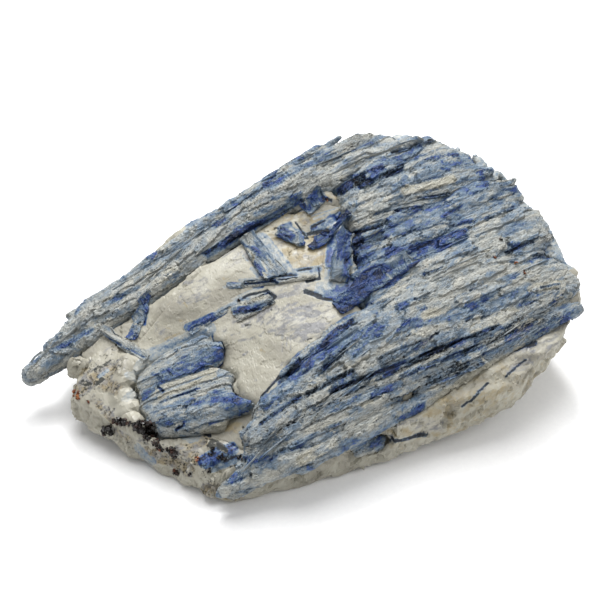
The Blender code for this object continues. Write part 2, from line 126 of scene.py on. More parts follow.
def add_floor():
    mesh = bpy.data.meshes.new("floor")
    with building(mesh) as builder:
        bmesh.ops.create_grid(builder, x_segments=1, y_segments=1, size=FLOOR_HALF)
    paint = Shader("floor_paper")
    grain = paint.noise(paint.place(), 900.0, 2.0)
    paint.set("Base Color", paint.ramp(grain, FLOOR_GREYS))
    paint.set("Roughness", 0.9)
    paint.set("Specular IOR Level", 0.1)
    mesh.materials.append(paint.material)
    link(bpy.data.objects.new("floor", mesh))


# ---------------------------------------------------------------- materials


class Shader:
    """A material round one Principled BSDF, with short calls for the nodes that the minerals need."""

    def __init__(self, name):
        self.material = bpy.data.materials.new(name)
        self.material.use_nodes = True
        self.tree = self.material.node_tree
        self.surface = self.tree.nodes["Principled BSDF"]

    def feed(self, socket, value):
        """Links a socket to another one, or gives it a number, a vector or a colour."""
        if isinstance(value, bpy.types.NodeSocket):
            self.tree.links.new(value, socket)
        elif isinstance(value, tuple) and len(value) < len(socket.default_value):
            socket.default_value = (*value, 1.0)
        else:
            socket.default_value = value

    def node(self, kind, inputs=None, **settings):
        """A node with those settings, and its inputs by name or number."""
        made = self.tree.nodes.new("ShaderNode" + kind)
        for key, value in settings.items():
            setattr(made, key, value)
        for key, value in (inputs or {}).items():
            self.feed(made.inputs[key], value)
        return made

    def set(self, name, value):
        self.feed(self.surface.inputs[name], value)

    def place(self):
        return self.node("TexCoord").outputs["Object"]

    def attribute(self, name, output="Vector"):
        return self.node("Attribute", attribute_name=name).outputs[output]

    def scaled(self, vector, scale):
        return self.node("VectorMath", {0: vector, 1: scale}, operation="MULTIPLY").outputs["Vector"]

    def noise(self, vector, scale, detail=4.0, rough=0.55, distortion=0.0):
        inputs = {"Vector": vector, "Scale": scale, "Detail": detail, "Roughness": rough}
        return self.node("TexNoise", {**inputs, "Distortion": distortion}).outputs["Fac"]

    def cells(self, vector, scale):
        """A grey of its own for each cell, as a colour."""
        return self.node("TexVoronoi", {"Vector": vector, "Scale": scale}).outputs["Color"]

    def maths(self, operation, *values):
        return self.node("Math", dict(enumerate(values)), operation=operation).outputs[0]

    def sway(self, value, *waves):
        """A value plus noises, each centred on nothing and multiplied by its own strength."""
        for wave, strength in waves:
            value = self.maths("MULTIPLY_ADD", self.maths("SUBTRACT", wave, 0.5), strength, value)
        return value

    def span(self, value, low, high, to_low=0.0, to_high=1.0):
        """Maps low..high on to to_low..to_high, with smooth ends."""
        inputs = {"Value": value, "From Min": low, "From Max": high, "To Min": to_low, "To Max": to_high}
        return self.node("MapRange", inputs, interpolation_type="SMOOTHSTEP").outputs["Result"]

    def ramp(self, value, stops):
        made = self.node("ValToRGB", {"Fac": value})
        elements = made.color_ramp.elements
        while len(elements) < len(stops):
            elements.new(0.5)
        for element, (position, colour) in zip(elements, stops):
            element.position = position
            element.color = (*colour, 1.0)
        return made.outputs["Color"]

    def mix(self, share, first, second):
        return self.node("Mix", {0: share, 6: first, 7: second}, data_type="RGBA").outputs[2]

    def lit(self, colour, share):
        """A colour made darker or brighter, and no more or less blue."""
        return self.node("VectorMath", {0: colour, "Scale": share}, operation="SCALE").outputs["Vector"]

    def split(self, colour):
        return self.node("SeparateColor", {0: colour}).outputs

    def bump(self, height, depth, strength, under=None):
        """Relief of some depth, mm, over the relief under it."""
        inputs = {"Height": height, "Distance": depth * MM, "Strength": strength}
        if under is not None:
            inputs["Normal"] = under
        return self.node("Bump", inputs).outputs["Normal"]


# From white where the blades split to the deep blue of their middles.
KYANITE_RAMP = (
    (0.00, (0.37, 0.366, 0.325)),
    (0.16, (0.315, 0.322, 0.300)),
    (0.32, (0.250, 0.270, 0.268)),
    (0.46, (0.190, 0.228, 0.262)),
    (0.60, (0.100, 0.150, 0.208)),
    (0.71, (0.052, 0.094, 0.165)),
    (0.84, (0.013, 0.047, 0.205)),
    (0.98, (0.005, 0.014, 0.045)),
)
SPLIT_RAMP = ((0.3, (0.22, 0.21, 0.155)), (0.5, (0.315, 0.305, 0.25)), (0.7, (0.40, 0.39, 0.335)))
KYANITE_SHADE = (0.006, 0.008, 0.011)
# The noises of kyanite: how fast each changes along a crystal, across it and from one crystal to the next,
# and its detail, roughness and distortion.
KYANITE_NOISES = {
    "broad": ((0.10, 0.26, 0.002), 4.0, 0.55, 0.8),
    "fine": ((0.75, 2.2, 0.002), 5.0, 0.75, 0.8),
    "hair": ((0.55, 3.8, 1.0), 3.0, 0.8, 0.4),
    "fleck": ((1.8, 3.2, 1.0), 4.0, 0.8, 1.0),
    "crack": ((0.20, 1.5, 1.0), 4.0, 0.65, 0.4),
}
CRACK_WIDTH = 0.016
# How dark the cracks between blades are painted: painted shade.
CRACK_SHADE = 0.34


def kyanite_material():
    """Blades: blue in the middle, grey to white where they split, streaked along their length, with painted
    shade in the cracks between them.
    """
    paint = Shader("kyanite_blades")
    streak = paint.attribute("streak")
    blue, cream, dark = paint.split(paint.attribute("tint", "Color"))
    broad, fine, hair, fleck, crack = (
        paint.noise(paint.scaled(streak, scale), 1.0, *grain) for scale, *grain in KYANITE_NOISES.values()
    )
    tone = paint.sway(blue, (broad, 1.1), (fine, 0.4), (hair, 0.3))
    patch = paint.sway(cream, (fine, 0.7), (fleck, 0.3), (hair, 0.4), (broad, 0.8))
    split = paint.ramp(fine, SPLIT_RAMP)
    colour = paint.mix(paint.span(patch, 0.38, 0.72), paint.ramp(tone, KYANITE_RAMP), split)
    threads = paint.sway(0.5, (hair, 1.2), (fleck, 0.6), (fine, 0.3))
    colour = paint.lit(colour, paint.span(threads, 0.15, 0.85, 0.50, 1.46))
    # Thin dark lines along the blades: painted shade in the cracks between them.
    from_crack = paint.maths("ABSOLUTE", paint.maths("SUBTRACT", crack, 0.5))
    line = paint.span(from_crack, 0.0, CRACK_WIDTH, 1.0, 0.0)
    line = paint.maths("MULTIPLY", line, paint.span(fine, 0.42, 0.54))
    # Dark flecks of the mineral, and painted shade in its hollows, creases and cracks, are mixed towards
    # near-black.
    shade = paint.sway(dark, (fine, -1.2), (fleck, -1.8), (hair, 1.3))
    shade = paint.maths("MULTIPLY_ADD", line, CRACK_SHADE, shade)
    paint.set("Base Color", paint.mix(paint.span(shade, 0.46, 0.66, 0.0, 0.97), colour, KYANITE_SHADE))
    paint.set("Roughness", paint.span(fine, 0.3, 0.7, 0.28, 0.52))
    paint.set("Specular IOR Level", paint.span(shade, 0.44, 0.60, 0.42, 0.08))
    ridges = paint.bump(fine, 0.35, 0.7)
    ridges = paint.bump(hair, 0.22, 0.8, ridges)
    paint.set("Normal", paint.bump(fleck, 0.12, 0.6, ridges))
    return paint.material


QUARTZ_RAMP = ((0.36, (0.24, 0.228, 0.188)), (0.50, (0.32, 0.306, 0.25)), (0.62, (0.375, 0.362, 0.305)))
QUARTZ_WHITE = (0.36, 0.35, 0.32)
QUARTZ_GREY = (0.145, 0.149, 0.162)
QUARTZ_STAIN = (0.27, 0.215, 0.11)
QUARTZ_SHADE = (0.03, 0.032, 0.03)


def quartz_material():
    """Milky quartz: cream white, clouded grey, with yellow-brown stains and dark needles of kyanite."""
    paint = Shader("milky_quartz")
    place = paint.place()
    grey, stain, dark = paint.split(paint.attribute("tint", "Color"))
    blade = paint.attribute("tint", "Alpha")
    cloud = paint.noise(place, 90.0, 4.0, 0.6, 0.6)
    grain = paint.noise(place, 420.0, 4.0, 0.65)
    sugar = paint.noise(place, 1300.0, 4.0, 0.7)
    streaked = paint.noise(paint.scaled(place, (0.35, 1.0, 1.0)), 700.0, 3.0, 0.6)
    blade_tone = paint.ramp(paint.sway(grey, (streaked, 1.0), (sugar, 1.0)), KYANITE_RAMP)
    dark_share = paint.sway(dark, (grain, 0.8), (sugar, 1.8))
    colour = paint.ramp(cloud, QUARTZ_RAMP)
    for share, low, high, cover, over in (
        (grain, 0.52, 0.75, 0.35, QUARTZ_WHITE),
        (paint.sway(grey, (streaked, 1.8), (sugar, 0.8)), 0.3, 0.8, 0.85, QUARTZ_GREY),
        (paint.sway(stain, (grain, 1.6)), 0.25, 0.75, 0.75, QUARTZ_STAIN),
        (paint.sway(blade, (grain, 0.9), (sugar, 0.5)), 0.40, 0.60, 1.0, blade_tone),
        (dark_share, 0.45, 0.7, 0.9, QUARTZ_SHADE),
    ):
        colour = paint.mix(paint.span(share, low, high, 0.0, cover), colour, over)
    paint.set("Base Color", colour)
    paint.set("Roughness", paint.span(grain, 0.35, 0.65, 0.38, 0.6))
    paint.set("Specular IOR Level", paint.span(dark_share, 0.4, 0.65, 0.36, 0.08))
    paint.set("Subsurface Weight", 0.15)
    paint.set("Subsurface Radius", (0.004, 0.0036, 0.003))
    paint.set("Subsurface Scale", 0.5)
    paint.set("Normal", paint.bump(sugar, 0.06, 0.5, paint.bump(grain, 0.13, 0.5)))
    return paint.material


MICA_RAMP = ((0.0, (0.002, 0.0015, 0.0015)), (0.7, (0.007, 0.0035, 0.0025)), (1.0, (0.05, 0.018, 0.010)))
RUST_RAMP = ((0.35, (0.02, 0.006, 0.003)), (0.5, (0.11, 0.028, 0.010)), (0.65, (0.34, 0.12, 0.03)))


def mica_material():
    """Biotite: near-black brown flakes with a bronze shine."""
    paint = Shader("biotite")
    value = paint.split(paint.cells(paint.place(), 900.0))[0]
    paint.set("Base Color", paint.ramp(value, MICA_RAMP))
    paint.set("Roughness", paint.span(value, 0.0, 1.0, 0.18, 0.5))
    paint.set("Normal", paint.bump(value, 0.3, 0.6))
    return paint.material


def rust_material():
    """Iron oxide: orange-brown earthy grains."""
    paint = Shader("iron_oxide")
    grain = paint.noise(paint.place(), 900.0, 4.0, 0.7)
    paint.set("Base Color", paint.ramp(grain, RUST_RAMP))
    paint.set("Roughness", 0.6)
    paint.set("Normal", paint.bump(grain, 0.4, 0.7))
    return paint.material


# ---------------------------------------------------------------- meshes


@contextmanager
def building(mesh):
    """Gives a bmesh to fill, and then writes it to the mesh."""
    builder = bmesh.new()
    yield builder
    builder.to_mesh(mesh)
    builder.free()


def vertex_rows(mesh):
    """The places, mm, and facings of a mesh's vertices."""
    places = np.empty(len(mesh.vertices) * 3, np.float32)
    facings = np.empty(len(mesh.vertices) * 3, np.float32)
    mesh.vertices.foreach_get("co", places)
    mesh.vertex_normals.foreach_get("vector", facings)
    return places.reshape(-1, 3) / MM, facings.reshape(-1, 3)


def set_places(mesh, places):
    """Moves a mesh's vertices to those places, mm."""
    mesh.vertices.foreach_set("co", (places * MM).astype(np.float32).ravel())


def dress(mesh, material, tints, streaks=None):
    """Gives a mesh its material, and stores the rows that the shader reads at each vertex."""
    if streaks is not None:
        streak = mesh.attributes.new("streak", "FLOAT_VECTOR", "POINT")
        streak.data.foreach_set("vector", streaks.astype(np.float32).ravel())
    colour = np.ones((len(tints), 4), np.float32)
    colour[:, : tints.shape[1]] = np.clip(tints, 0.0, 1.0)
    mesh.attributes.new("tint", "FLOAT_COLOR", "POINT").data.foreach_set("color", colour.ravel())
    mesh.materials.clear()
    mesh.materials.append(material)


def finished(name, mesh, slot, *nodes):
    """A piece of the visual model: it rides on the specimen and stands for CAD nodes."""
    made = link(bpy.data.objects.new(name, mesh))
    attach(made, "root")
    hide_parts(*nodes)


def without(mesh, unwanted):
    """Takes the flagged vertices out of a mesh."""
    with building(mesh) as builder:
        builder.from_mesh(mesh)
        spare = [vert for vert, flag in zip(builder.verts, unwanted) if flag]
        bmesh.ops.delete(builder, geom=spare, context="VERTS")


def evaluated(source, name):
    """The mesh of an object after its modifiers, as a mesh of its own. The object is removed."""
    graph = bpy.context.evaluated_depsgraph_get()
    mesh = bpy.data.meshes.new_from_object(source.evaluated_get(graph))
    mesh.name = name
    bpy.data.objects.remove(source)
    return mesh


def remeshed(name, nodes, voxel, smoothing=0):
    """The outer surface of some CAD nodes together, as an even mesh of small faces."""
    mesh = bpy.data.meshes.new(name + "_source")
    with building(mesh) as builder:
        for node in nodes:
            builder.from_mesh(NODES[node].data)
    source = link(bpy.data.objects.new(name + "_source", mesh))
    remesh = source.modifiers.new("even", "REMESH")
    remesh.mode = "VOXEL"
    remesh.voxel_size = voxel * MM
    if smoothing:
        smooth = source.modifiers.new("smooth", "SMOOTH")
        smooth.factor = 0.5
        smooth.iterations = smoothing
    return evaluated(source, name)


def tree_of(mesh):
    points = [vertex.co for vertex in mesh.vertices]
    return BVHTree.FromPolygons(points, [tuple(face.vertices) for face in mesh.polygons])


def without_crumbs(mesh):
    """Takes out the specks that a voxel mesh leaves apart from its body."""
    pairs = np.empty(len(mesh.edges) * 2, np.int32)
    mesh.edges.foreach_get("vertices", pairs)
    firsts, lasts = pairs[::2], pairs[1::2]
    bodies = np.arange(len(mesh.vertices))
    while True:
        lowest = np.minimum(bodies[firsts], bodies[lasts])
        joined_up = bodies.copy()
        np.minimum.at(joined_up, firsts, lowest)
        np.minimum.at(joined_up, lasts, lowest)
        joined_up = joined_up[joined_up]
        if (joined_up == bodies).all():
            break
        bodies = joined_up
    without(mesh, bodies != np.bincount(bodies).argmax())


CALM = 0.95  # the share of the CAD blades' ridges that is levelled
CALM_REACH = 2.0  # how far a place is moved to level it at most, mm
CALM_SMOOTHING = 300


def calmed(name, nodes, voxel, smoothing):
    """The nodes' outer surface as an even mesh whose ridges are levelled, and whose outline hardly moves."""
    mesh = remeshed(name, nodes, voxel, smoothing)
    places, _ = vertex_rows(mesh)
    move = vertex_rows(remeshed(name + "_calm", nodes, voxel, CALM_SMOOTHING))[0] - places
    length = np.linalg.norm(move, axis=1, keepdims=True)
    move *= CALM * np.minimum(1.0, CALM_REACH / np.maximum(length, 1e-6))
    set_places(mesh, places + move)
    without_crumbs(mesh)
    mesh.update()
    return mesh


class Pile:
    """Many small closed solids gathered in one mesh."""

    def __init__(self):
        self.points, self.faces, self.count = [], [], 0

    def add(self, points, faces):
        self.points.append(points)
        self.faces += [tuple(index + self.count for index in face) for face in faces]
        self.count += len(points)

    def mesh(self, name):
        mesh = bpy.data.meshes.new(name)
        mesh.from_pydata((np.concatenate(self.points) * MM).tolist(), [], self.faces)
        return mesh


def rising(values, start, reach):
    """0 up to the start, 1 from the reach beyond it, and a straight slope between."""
    return np.clip((values - start) / reach, 0.0, 1.0)


PLATEAU = 1.3  # over 1, so that nearness stays full for a while


def nearness(places, spots, reach):
    """How near places lie to some spots: 1 close to one, and 0 from the reach on, with smooth ends."""
    apart = np.min([np.linalg.norm(places - np.array(spot), axis=1) for spot in spots], axis=0) / reach
    share = np.clip(PLATEAU - PLATEAU * apart, 0.0, 1.0)
    return share * share * (3.0 - 2.0 * share)


# ---------------------------------------------------------------- the skin, and how the photograph shows it

SKIN_VOXEL = 1.2
SKIN_SMOOTHING = 10
FAR = 200.0  # further than any two places of the specimen are apart
DOWN = Vector((0, 0, -1))


def camera_ray(x, y):
    """The direction from the camera through a pixel of the photograph."""
    aside = (x / PHOTO_SIDE - 0.5) * SENSOR / CAMERA_LENS
    above = (0.5 - y / PHOTO_SIDE) * SENSOR / CAMERA_LENS
    return (CAMERA_TURN @ Vector((aside, above, -1.0))).normalized()


def photo_rows(points):
    """The pixel of the photograph at which each point, mm, lies, and its distance from the camera, mm."""
    turn = np.array(CAMERA_TURN.to_matrix())
    local = (points * MM - np.array(CAMERA_PLACE)) @ turn
    depth = -local[:, 2:]
    shares = local[:, :2] / depth * (1.0, -1.0) * CAMERA_LENS / SENSOR
    return (shares + 0.5) * PHOTO_SIDE, depth[:, 0] / MM


class Skin:
    """The specimen's surface: a smooth version of it, and which CAD node is where."""

    def __init__(self):
        self.smooth = tree_of(remeshed("skin", NODES, SKIN_VOXEL, SKIN_SMOOTHING))
        points, faces, self.owner = [], [], []
        for name, node in NODES.items():
            first = len(points)
            points += [vertex.co for vertex in node.data.vertices]
            for face in node.data.polygons:
                faces.append([first + index for index in face.vertices])
                self.owner.append(name)
        self.exact = BVHTree.FromPolygons(points, faces)

    def under(self, point):
        """The place, mm, on top of the smooth skin straight under a point, and its facing there."""
        place, facing, _, _ = self.smooth.ray_cast((point - DOWN * FAR) * MM, DOWN)
        return None if place is None else (place / MM, facing)

    def node_under(self, point):
        """The CAD node that is on top straight under a point, mm."""
        place, _, index, _ = self.exact.ray_cast((point - DOWN * FAR) * MM, DOWN)
        return None if place is None else self.owner[index]

    def facing_near(self, point):
        """The smooth skin's facing at the place nearest to a point, mm."""
        return self.smooth.find_nearest(point * MM)[1]

    def through_photo(self, x, y):
        """The place on the smooth skin, mm, that the photograph shows at a pixel."""
        place, _, _, _ = self.smooth.ray_cast(CAMERA_PLACE, camera_ray(x, y))
        return None if place is None else place / MM


skin = Skin()

# ---------------------------------------------------------------- strokes of colour over the photograph

# Kinds of kyanite, as the three tints that its shader reads: blue, cream and dark.
TONES = {
    "deep": (0.82, -0.35, 0.0),
    "blue": (0.68, -0.1, 0.02),
    "mid": (0.54, 0.02, 0.03),
    "pale": (0.40, 0.10, -0.03),
    "grey": (0.30, 0.20, 0.08),
    "silver": (0.22, 0.30, 0.08),
    "cream": (0.16, 0.70, -0.1),
    "straw": (0.26, 0.38, 0.02),
    "olive": (0.34, 0.34, 0.30),
    # Partly a greyer colour and partly painted shade, for the near bundle, which faces away from the light.
    "smoky_shade": (0.42, 0.33, 0.43),
    "royal": (0.88, -0.6, -0.25),
    "sooty": (0.50, 0.1, 0.60),
    # Dark and black: partly dark specks of the mineral and partly painted shade in the hollows and gaps
    # between blades.
    "dark": (0.80, -0.2, 0.40),
    "black": (0.88, -0.4, 0.68),
    "white": (0.0, 0.9, -0.2),
}
# Kinds of quartz, as the four tints that its shader reads: grey, stain, dark and kyanite. Where kyanite shows
# through, the first is how blue it is.
QUARTZ_TONES = {
    "clear": (0.45, 0.05, 0.0, 0.0),
    "clouded": (0.56, 0.10, 0.0, 0.0),
    "veined": (0.66, 0.0, 0.08, 0.0),
    "inked": (0.95, 0.0, 0.12, 0.0),
    "stained": (0.1, 0.6, 0.1, 0.0),
    "honey": (0.44, 0.58, 0.04, 0.0),
    "amber": (0.22, 0.46, 0.02, 0.0),
    "mossy": (0.70, 0.50, 0.45, 0.10),
    "crack": (0.1, 0.6, 0.55, 0.0),
    "peppered": (0.38, 0.15, 0.42, 0.0),
    "sooty": (0.5, 0.0, 0.85, 0.0),
    "white": (0.0, 0.0, 0.0, 1.0),
    "cream": (0.04, 0.1, 0.0, 1.0),
    "silver": (0.20, 0.0, 0.0, 0.95),
    "grey": (0.34, 0.1, 0.0, 0.9),
    "olive": (0.40, 0.2, 0.25, 0.8),
    "pale": (0.40, 0.0, 0.0, 0.9),
    "mid": (0.54, 0.0, 0.0, 1.0),
    "blue": (0.66, 0.0, 0.0, 1.0),
    "deep": (0.80, 0.0, 0.0, 1.0),
    "royal": (0.78, 0.0, -0.1, 1.0),
    # Greyer and yellower: partly a stain and partly painted shade, for the lower right face under the
    # overhanging blades.
    "stain_and_shade": (0.14, 0.33, 0.0, 0.0),
    "dark": (0.80, 0.0, 0.45, 1.0),
    "black": (0.90, 0.0, 1.0, 1.0),
}
# In the tables below each row is one stroke: the x and y pixel of the photograph where it starts, those where
# it ends, its width in pixels and its tone. A crystal's row also says how far it stands over the skin, mm.
# Later strokes lie over earlier ones.

# Patches of colour that cross several crystals.
KYANITE_PATCHES = (
    (400, 262, 500, 225, 22, "pale"), (405, 296, 500, 262, 34, "straw"), (500, 268, 575, 296, 26, "straw"),
    (430, 240, 520, 226, 12, "pale"), (300, 430, 420, 382, 8, "straw"), (330, 374, 400, 344, 8, "straw"),
    (265, 400, 300, 385, 26, "olive"), (250, 448, 285, 420, 22, "olive"), (268, 402, 300, 372, 16, "dark"),
    (300, 372, 345, 332, 15, "deep"), (262, 412, 292, 392, 14, "olive"), (345, 297, 400, 263, 24, "blue"),
    (348, 290, 392, 268, 16, "deep"), (120, 300, 210, 238, 12, "pale"), (210, 225, 300, 185, 10, "pale"),
    (445, 289, 449, 287, 8, "cream"), (425, 317, 436, 312, 9, "cream"), (540, 262, 575, 285, 16, "grey"),
    (480, 322, 512, 314, 14, "cream"), (533, 288, 553, 286, 9, "cream"), (534, 257, 548, 257, 6, "black"),
    (353, 260, 360, 240, 9, "black"), (25, 380, 90, 358, 9, "olive"),
)
# Veils: wide tints over whole bundles. The smoky veil over the near bundle is partly its greyer colour and
# partly painted shade of that bundle, which faces away from the light.
KYANITE_VEILS = (
    (270, 425, 540, 318, 62, "smoky_shade"), (50, 350, 330, 172, 34, "silver"), (60, 342, 330, 170, 26, "silver"),
    (398, 232, 470, 208, 30, "blue"), (400, 236, 468, 216, 26, "blue"), (334, 298, 402, 260, 30, "royal"),
    (414, 254, 460, 238, 18, "royal"), (268, 404, 342, 336, 12, "royal"), (40, 362, 110, 322, 18, "grey"),
)
# Streaks that stay strong on top of the veils.
KYANITE_STREAKS = (
    (186, 268, 258, 222, 7, "deep"), (198, 258, 232, 236, 4, "black"), (222, 244, 300, 200, 6, "dark"),
    (256, 215, 300, 194, 5, "deep"), (236, 206, 286, 178, 6, "blue"), (104, 306, 160, 276, 5, "blue"),
    (146, 284, 200, 262, 14, "silver"), (160, 414, 234, 408, 9, "pale"), (150, 356, 206, 342, 9, "pale"),
    (346, 432, 392, 412, 16, "silver"), (268, 184, 330, 156, 6, "blue"), (52, 352, 92, 330, 5, "blue"),
    (334, 300, 398, 268, 14, "royal"), (430, 404, 470, 378, 11, "cream"), (470, 378, 522, 351, 12, "cream"),
    (300, 436, 384, 397, 6, "straw"), (340, 400, 436, 360, 4, "silver"), (272, 424, 312, 398, 8, "olive"),
    (286, 404, 332, 374, 6, "olive"), (330, 374, 384, 350, 6, "straw"), (380, 352, 444, 324, 6, "straw"),
    (360, 392, 420, 372, 5, "olive"), (520, 322, 566, 302, 8, "olive"), (308, 395, 352, 372, 5, "black"),
    (330, 392, 404, 362, 4, "black"), (400, 376, 480, 346, 5, "dark"), (420, 356, 498, 326, 3, "black"),
    (262, 424, 300, 398, 4, "black"),
)
# Crystals that can be told apart: on the far slope, in the middle, on the near slope, at the front and on the
# block at the left.
FAR_CRYSTALS = (
    (24, 384, 80, 358, 8, "olive", 0.0), (48, 342, 84, 322, 4, "blue", 0.7),
    (52, 352, 70, 350, 4, "blue", 0.6), (62, 332, 84, 306, 13, "pale", 0.5),
    (82, 318, 99, 296, 15, "mid", 0.7), (98, 312, 168, 272, 9, "mid", 0.6),
    (104, 321, 150, 297, 4, "dark", 0.8), (98, 300, 170, 255, 9, "pale", 0.4),
    (110, 306, 175, 270, 6, "grey", 0.7), (105, 289, 172, 244, 8, "mid", 0.3),
    (120, 312, 200, 262, 5, "blue", 0.6), (165, 252, 206, 222, 10, "pale", 0.5),
    (172, 264, 240, 208, 6, "deep", 0.8), (178, 262, 205, 240, 4, "black", 0.9),
    (186, 270, 250, 222, 7, "blue", 0.5), (196, 250, 222, 228, 6, "deep", 0.9),
    (188, 278, 238, 246, 4, "black", 0.5), (200, 262, 262, 225, 4, "grey", 0.6),
    (230, 244, 285, 212, 4, "olive", 0.4), (225, 208, 275, 175, 9, "mid", 0.5),
    (245, 205, 300, 178, 8, "grey", 0.6), (248, 210, 290, 192, 3, "black", 0.9),
    (255, 215, 290, 197, 7, "deep", 0.8), (272, 190, 310, 170, 8, "mid", 0.7),
    (298, 184, 345, 164, 9, "mid", 0.6), (306, 176, 328, 167, 8, "deep", 0.9),
    (326, 165, 372, 146, 4, "dark", 0.9), (345, 158, 395, 147, 7, "grey", 0.7),
    (300, 195, 338, 180, 6, "olive", 0.4),
)
MASS_CRYSTALS = (
    (345, 180, 398, 160, 7, "blue", 0.7), (342, 192, 362, 178, 9, "black", 0.2),
    (362, 186, 400, 168, 8, "black", 0.3), (372, 178, 404, 162, 4, "deep", 0.8),
    (392, 154, 432, 143, 3, "black", 0.9), (392, 164, 420, 150, 6, "deep", 0.9),
    (388, 174, 402, 166, 3, "black", 0.9), (415, 169, 432, 160, 5, "dark", 1.0),
    (418, 176, 456, 162, 13, "blue", 0.7), (384, 190, 412, 176, 12, "mid", 0.8),
    (404, 192, 452, 180, 8, "cream", 0.5), (400, 202, 446, 192, 5, "grey", 0.8),
    (418, 199, 450, 194, 2.5, "black", 1.0), (446, 206, 482, 184, 14, "deep", 0.7),
    (388, 214, 446, 204, 5, "black", 0.5), (392, 226, 452, 212, 20, "mid", 0.8),
    (386, 236, 420, 222, 10, "blue", 0.7), (392, 246, 420, 236, 9, "grey", 0.9),
    (408, 252, 464, 236, 12, "deep", 1.1), (440, 243, 466, 234, 7, "deep", 1.3),
    (452, 222, 486, 208, 13, "pale", 0.7), (462, 206, 500, 190, 9, "mid", 0.7),
    (494, 198, 516, 188, 7, "deep", 1.0), (470, 226, 512, 209, 3, "dark", 0.9),
    (470, 234, 520, 214, 9, "grey", 0.6), (503, 222, 522, 210, 7, "mid", 0.9),
    (510, 242, 536, 230, 11, "pale", 1.0), (506, 253, 532, 243, 3, "black", 1.0),
    (490, 258, 502, 240, 8, "pale", 0.9), (512, 260, 532, 250, 11, "mid", 0.8),
    (466, 252, 502, 240, 11, "grey", 0.6), (356, 250, 386, 240, 7, "dark", 0.3),
    (362, 262, 392, 250, 8, "deep", 0.3), (352, 236, 388, 224, 5, "black", 0.4),
    (356, 226, 392, 214, 6, "silver", 0.7), (354, 218, 388, 204, 6, "grey", 0.6),
    (345, 206, 388, 190, 8, "grey", 0.6), (386, 282, 410, 258, 16, "blue", 0.5),
    (405, 266, 470, 248, 10, "pale", 0.6), (424, 276, 442, 269, 3, "black", 0.9),
    (520, 276, 575, 292, 6, "olive", 0.5), (412, 254, 462, 238, 10, "royal", 0.5),
    (480, 262, 520, 258, 6, "grey", 0.5),
)
NEAR_CRYSTALS = (
    # The first two, black, are painted shade in the crease along the bundle's edge over the quartz.
    (259, 404, 300, 362, 6, "black", 0.2), (282, 380, 352, 324, 7, "black", 0.2),
    (292, 378, 345, 340, 9, "deep", 0.7), (300, 372, 326, 356, 7, "dark", 0.9),
    (330, 352, 368, 322, 12, "blue", 0.7), (346, 334, 374, 318, 8, "mid", 0.8),
    (344, 362, 374, 346, 13, "blue", 0.7), (354, 358, 370, 350, 8, "deep", 0.9),
    (318, 374, 346, 352, 5, "black", 0.8), (262, 412, 318, 376, 14, "olive", 0.6),
    (250, 436, 292, 408, 18, "pale", 0.6), (246, 448, 280, 428, 10, "olive", 0.5),
    (318, 396, 350, 372, 10, "cream", 0.5), (300, 408, 345, 380, 8, "grey", 0.7),
    (334, 388, 350, 379, 7, "blue", 0.9), (346, 394, 368, 380, 4, "dark", 0.9),
    (316, 416, 372, 390, 9, "blue", 0.7), (332, 410, 398, 384, 8, "deep", 0.7),
    (286, 432, 334, 408, 7, "mid", 0.6), (366, 344, 404, 318, 18, "mid", 0.7),
    (378, 334, 400, 322, 9, "blue", 0.9), (382, 360, 414, 342, 11, "dark", 0.8),
    (386, 352, 410, 342, 5, "deep", 1.0), (398, 310, 412, 300, 7, "dark", 0.8),
    (408, 342, 448, 322, 8, "grey", 0.7), (438, 328, 482, 304, 15, "blue", 0.7),
    (450, 322, 476, 308, 8, "deep", 0.9), (482, 312, 528, 290, 12, "blue", 0.8),
    (492, 306, 524, 294, 8, "deep", 1.0), (436, 342, 478, 326, 12, "pale", 0.8),
    (474, 330, 514, 314, 12, "cream", 0.6), (494, 334, 518, 318, 7, "deep", 0.8),
    (508, 330, 552, 302, 5, "dark", 0.8), (512, 318, 560, 294, 6, "grey", 0.6),
    (410, 366, 456, 340, 4, "silver", 0.9), (414, 362, 452, 342, 2.5, "black", 1.0),
    (420, 370, 466, 348, 4, "black", 0.8), (404, 372, 450, 350, 4, "silver", 0.8),
    (388, 396, 478, 360, 5, "mid", 0.7), (392, 402, 480, 364, 4, "dark", 0.6),
    (380, 384, 470, 344, 5, "grey", 0.7), (384, 376, 440, 350, 4, "black", 0.7),
    (430, 380, 464, 364, 8, "black", 0.4), (460, 362, 540, 322, 5, "grey", 0.7),
    (470, 352, 536, 322, 4, "dark", 0.7), (480, 344, 530, 320, 5, "olive", 0.6),
    (530, 290, 556, 284, 7, "cream", 0.7), (540, 289, 558, 285, 2.5, "black", 0.9),
    (400, 300, 450, 280, 9, "grey", 0.5), (440, 292, 500, 268, 9, "grey", 0.5),
    (460, 300, 520, 276, 8, "grey", 0.5),
)
FRONT_CRYSTALS = (
    (222, 492, 260, 478, 7, "grey", 0.4), (244, 484, 342, 446, 8, "silver", 0.6),
    (256, 474, 334, 444, 9, "silver", 0.9), (262, 470, 300, 454, 9, "pale", 1.0),
    (300, 460, 320, 450, 10, "cream", 1.0), (316, 452, 345, 436, 9, "silver", 1.0),
    (200, 472, 302, 446, 4, "dark", 0.5), (240, 468, 300, 440, 5, "blue", 0.8),
    (270, 452, 330, 426, 5, "grey", 0.5), (290, 446, 350, 418, 4, "dark", 0.5),
    (344, 442, 392, 414, 16, "mid", 1.0), (346, 428, 388, 402, 14, "pale", 0.9),
    (352, 434, 380, 418, 8, "cream", 1.2), (366, 458, 384, 452, 9, "olive", 0.8),
)
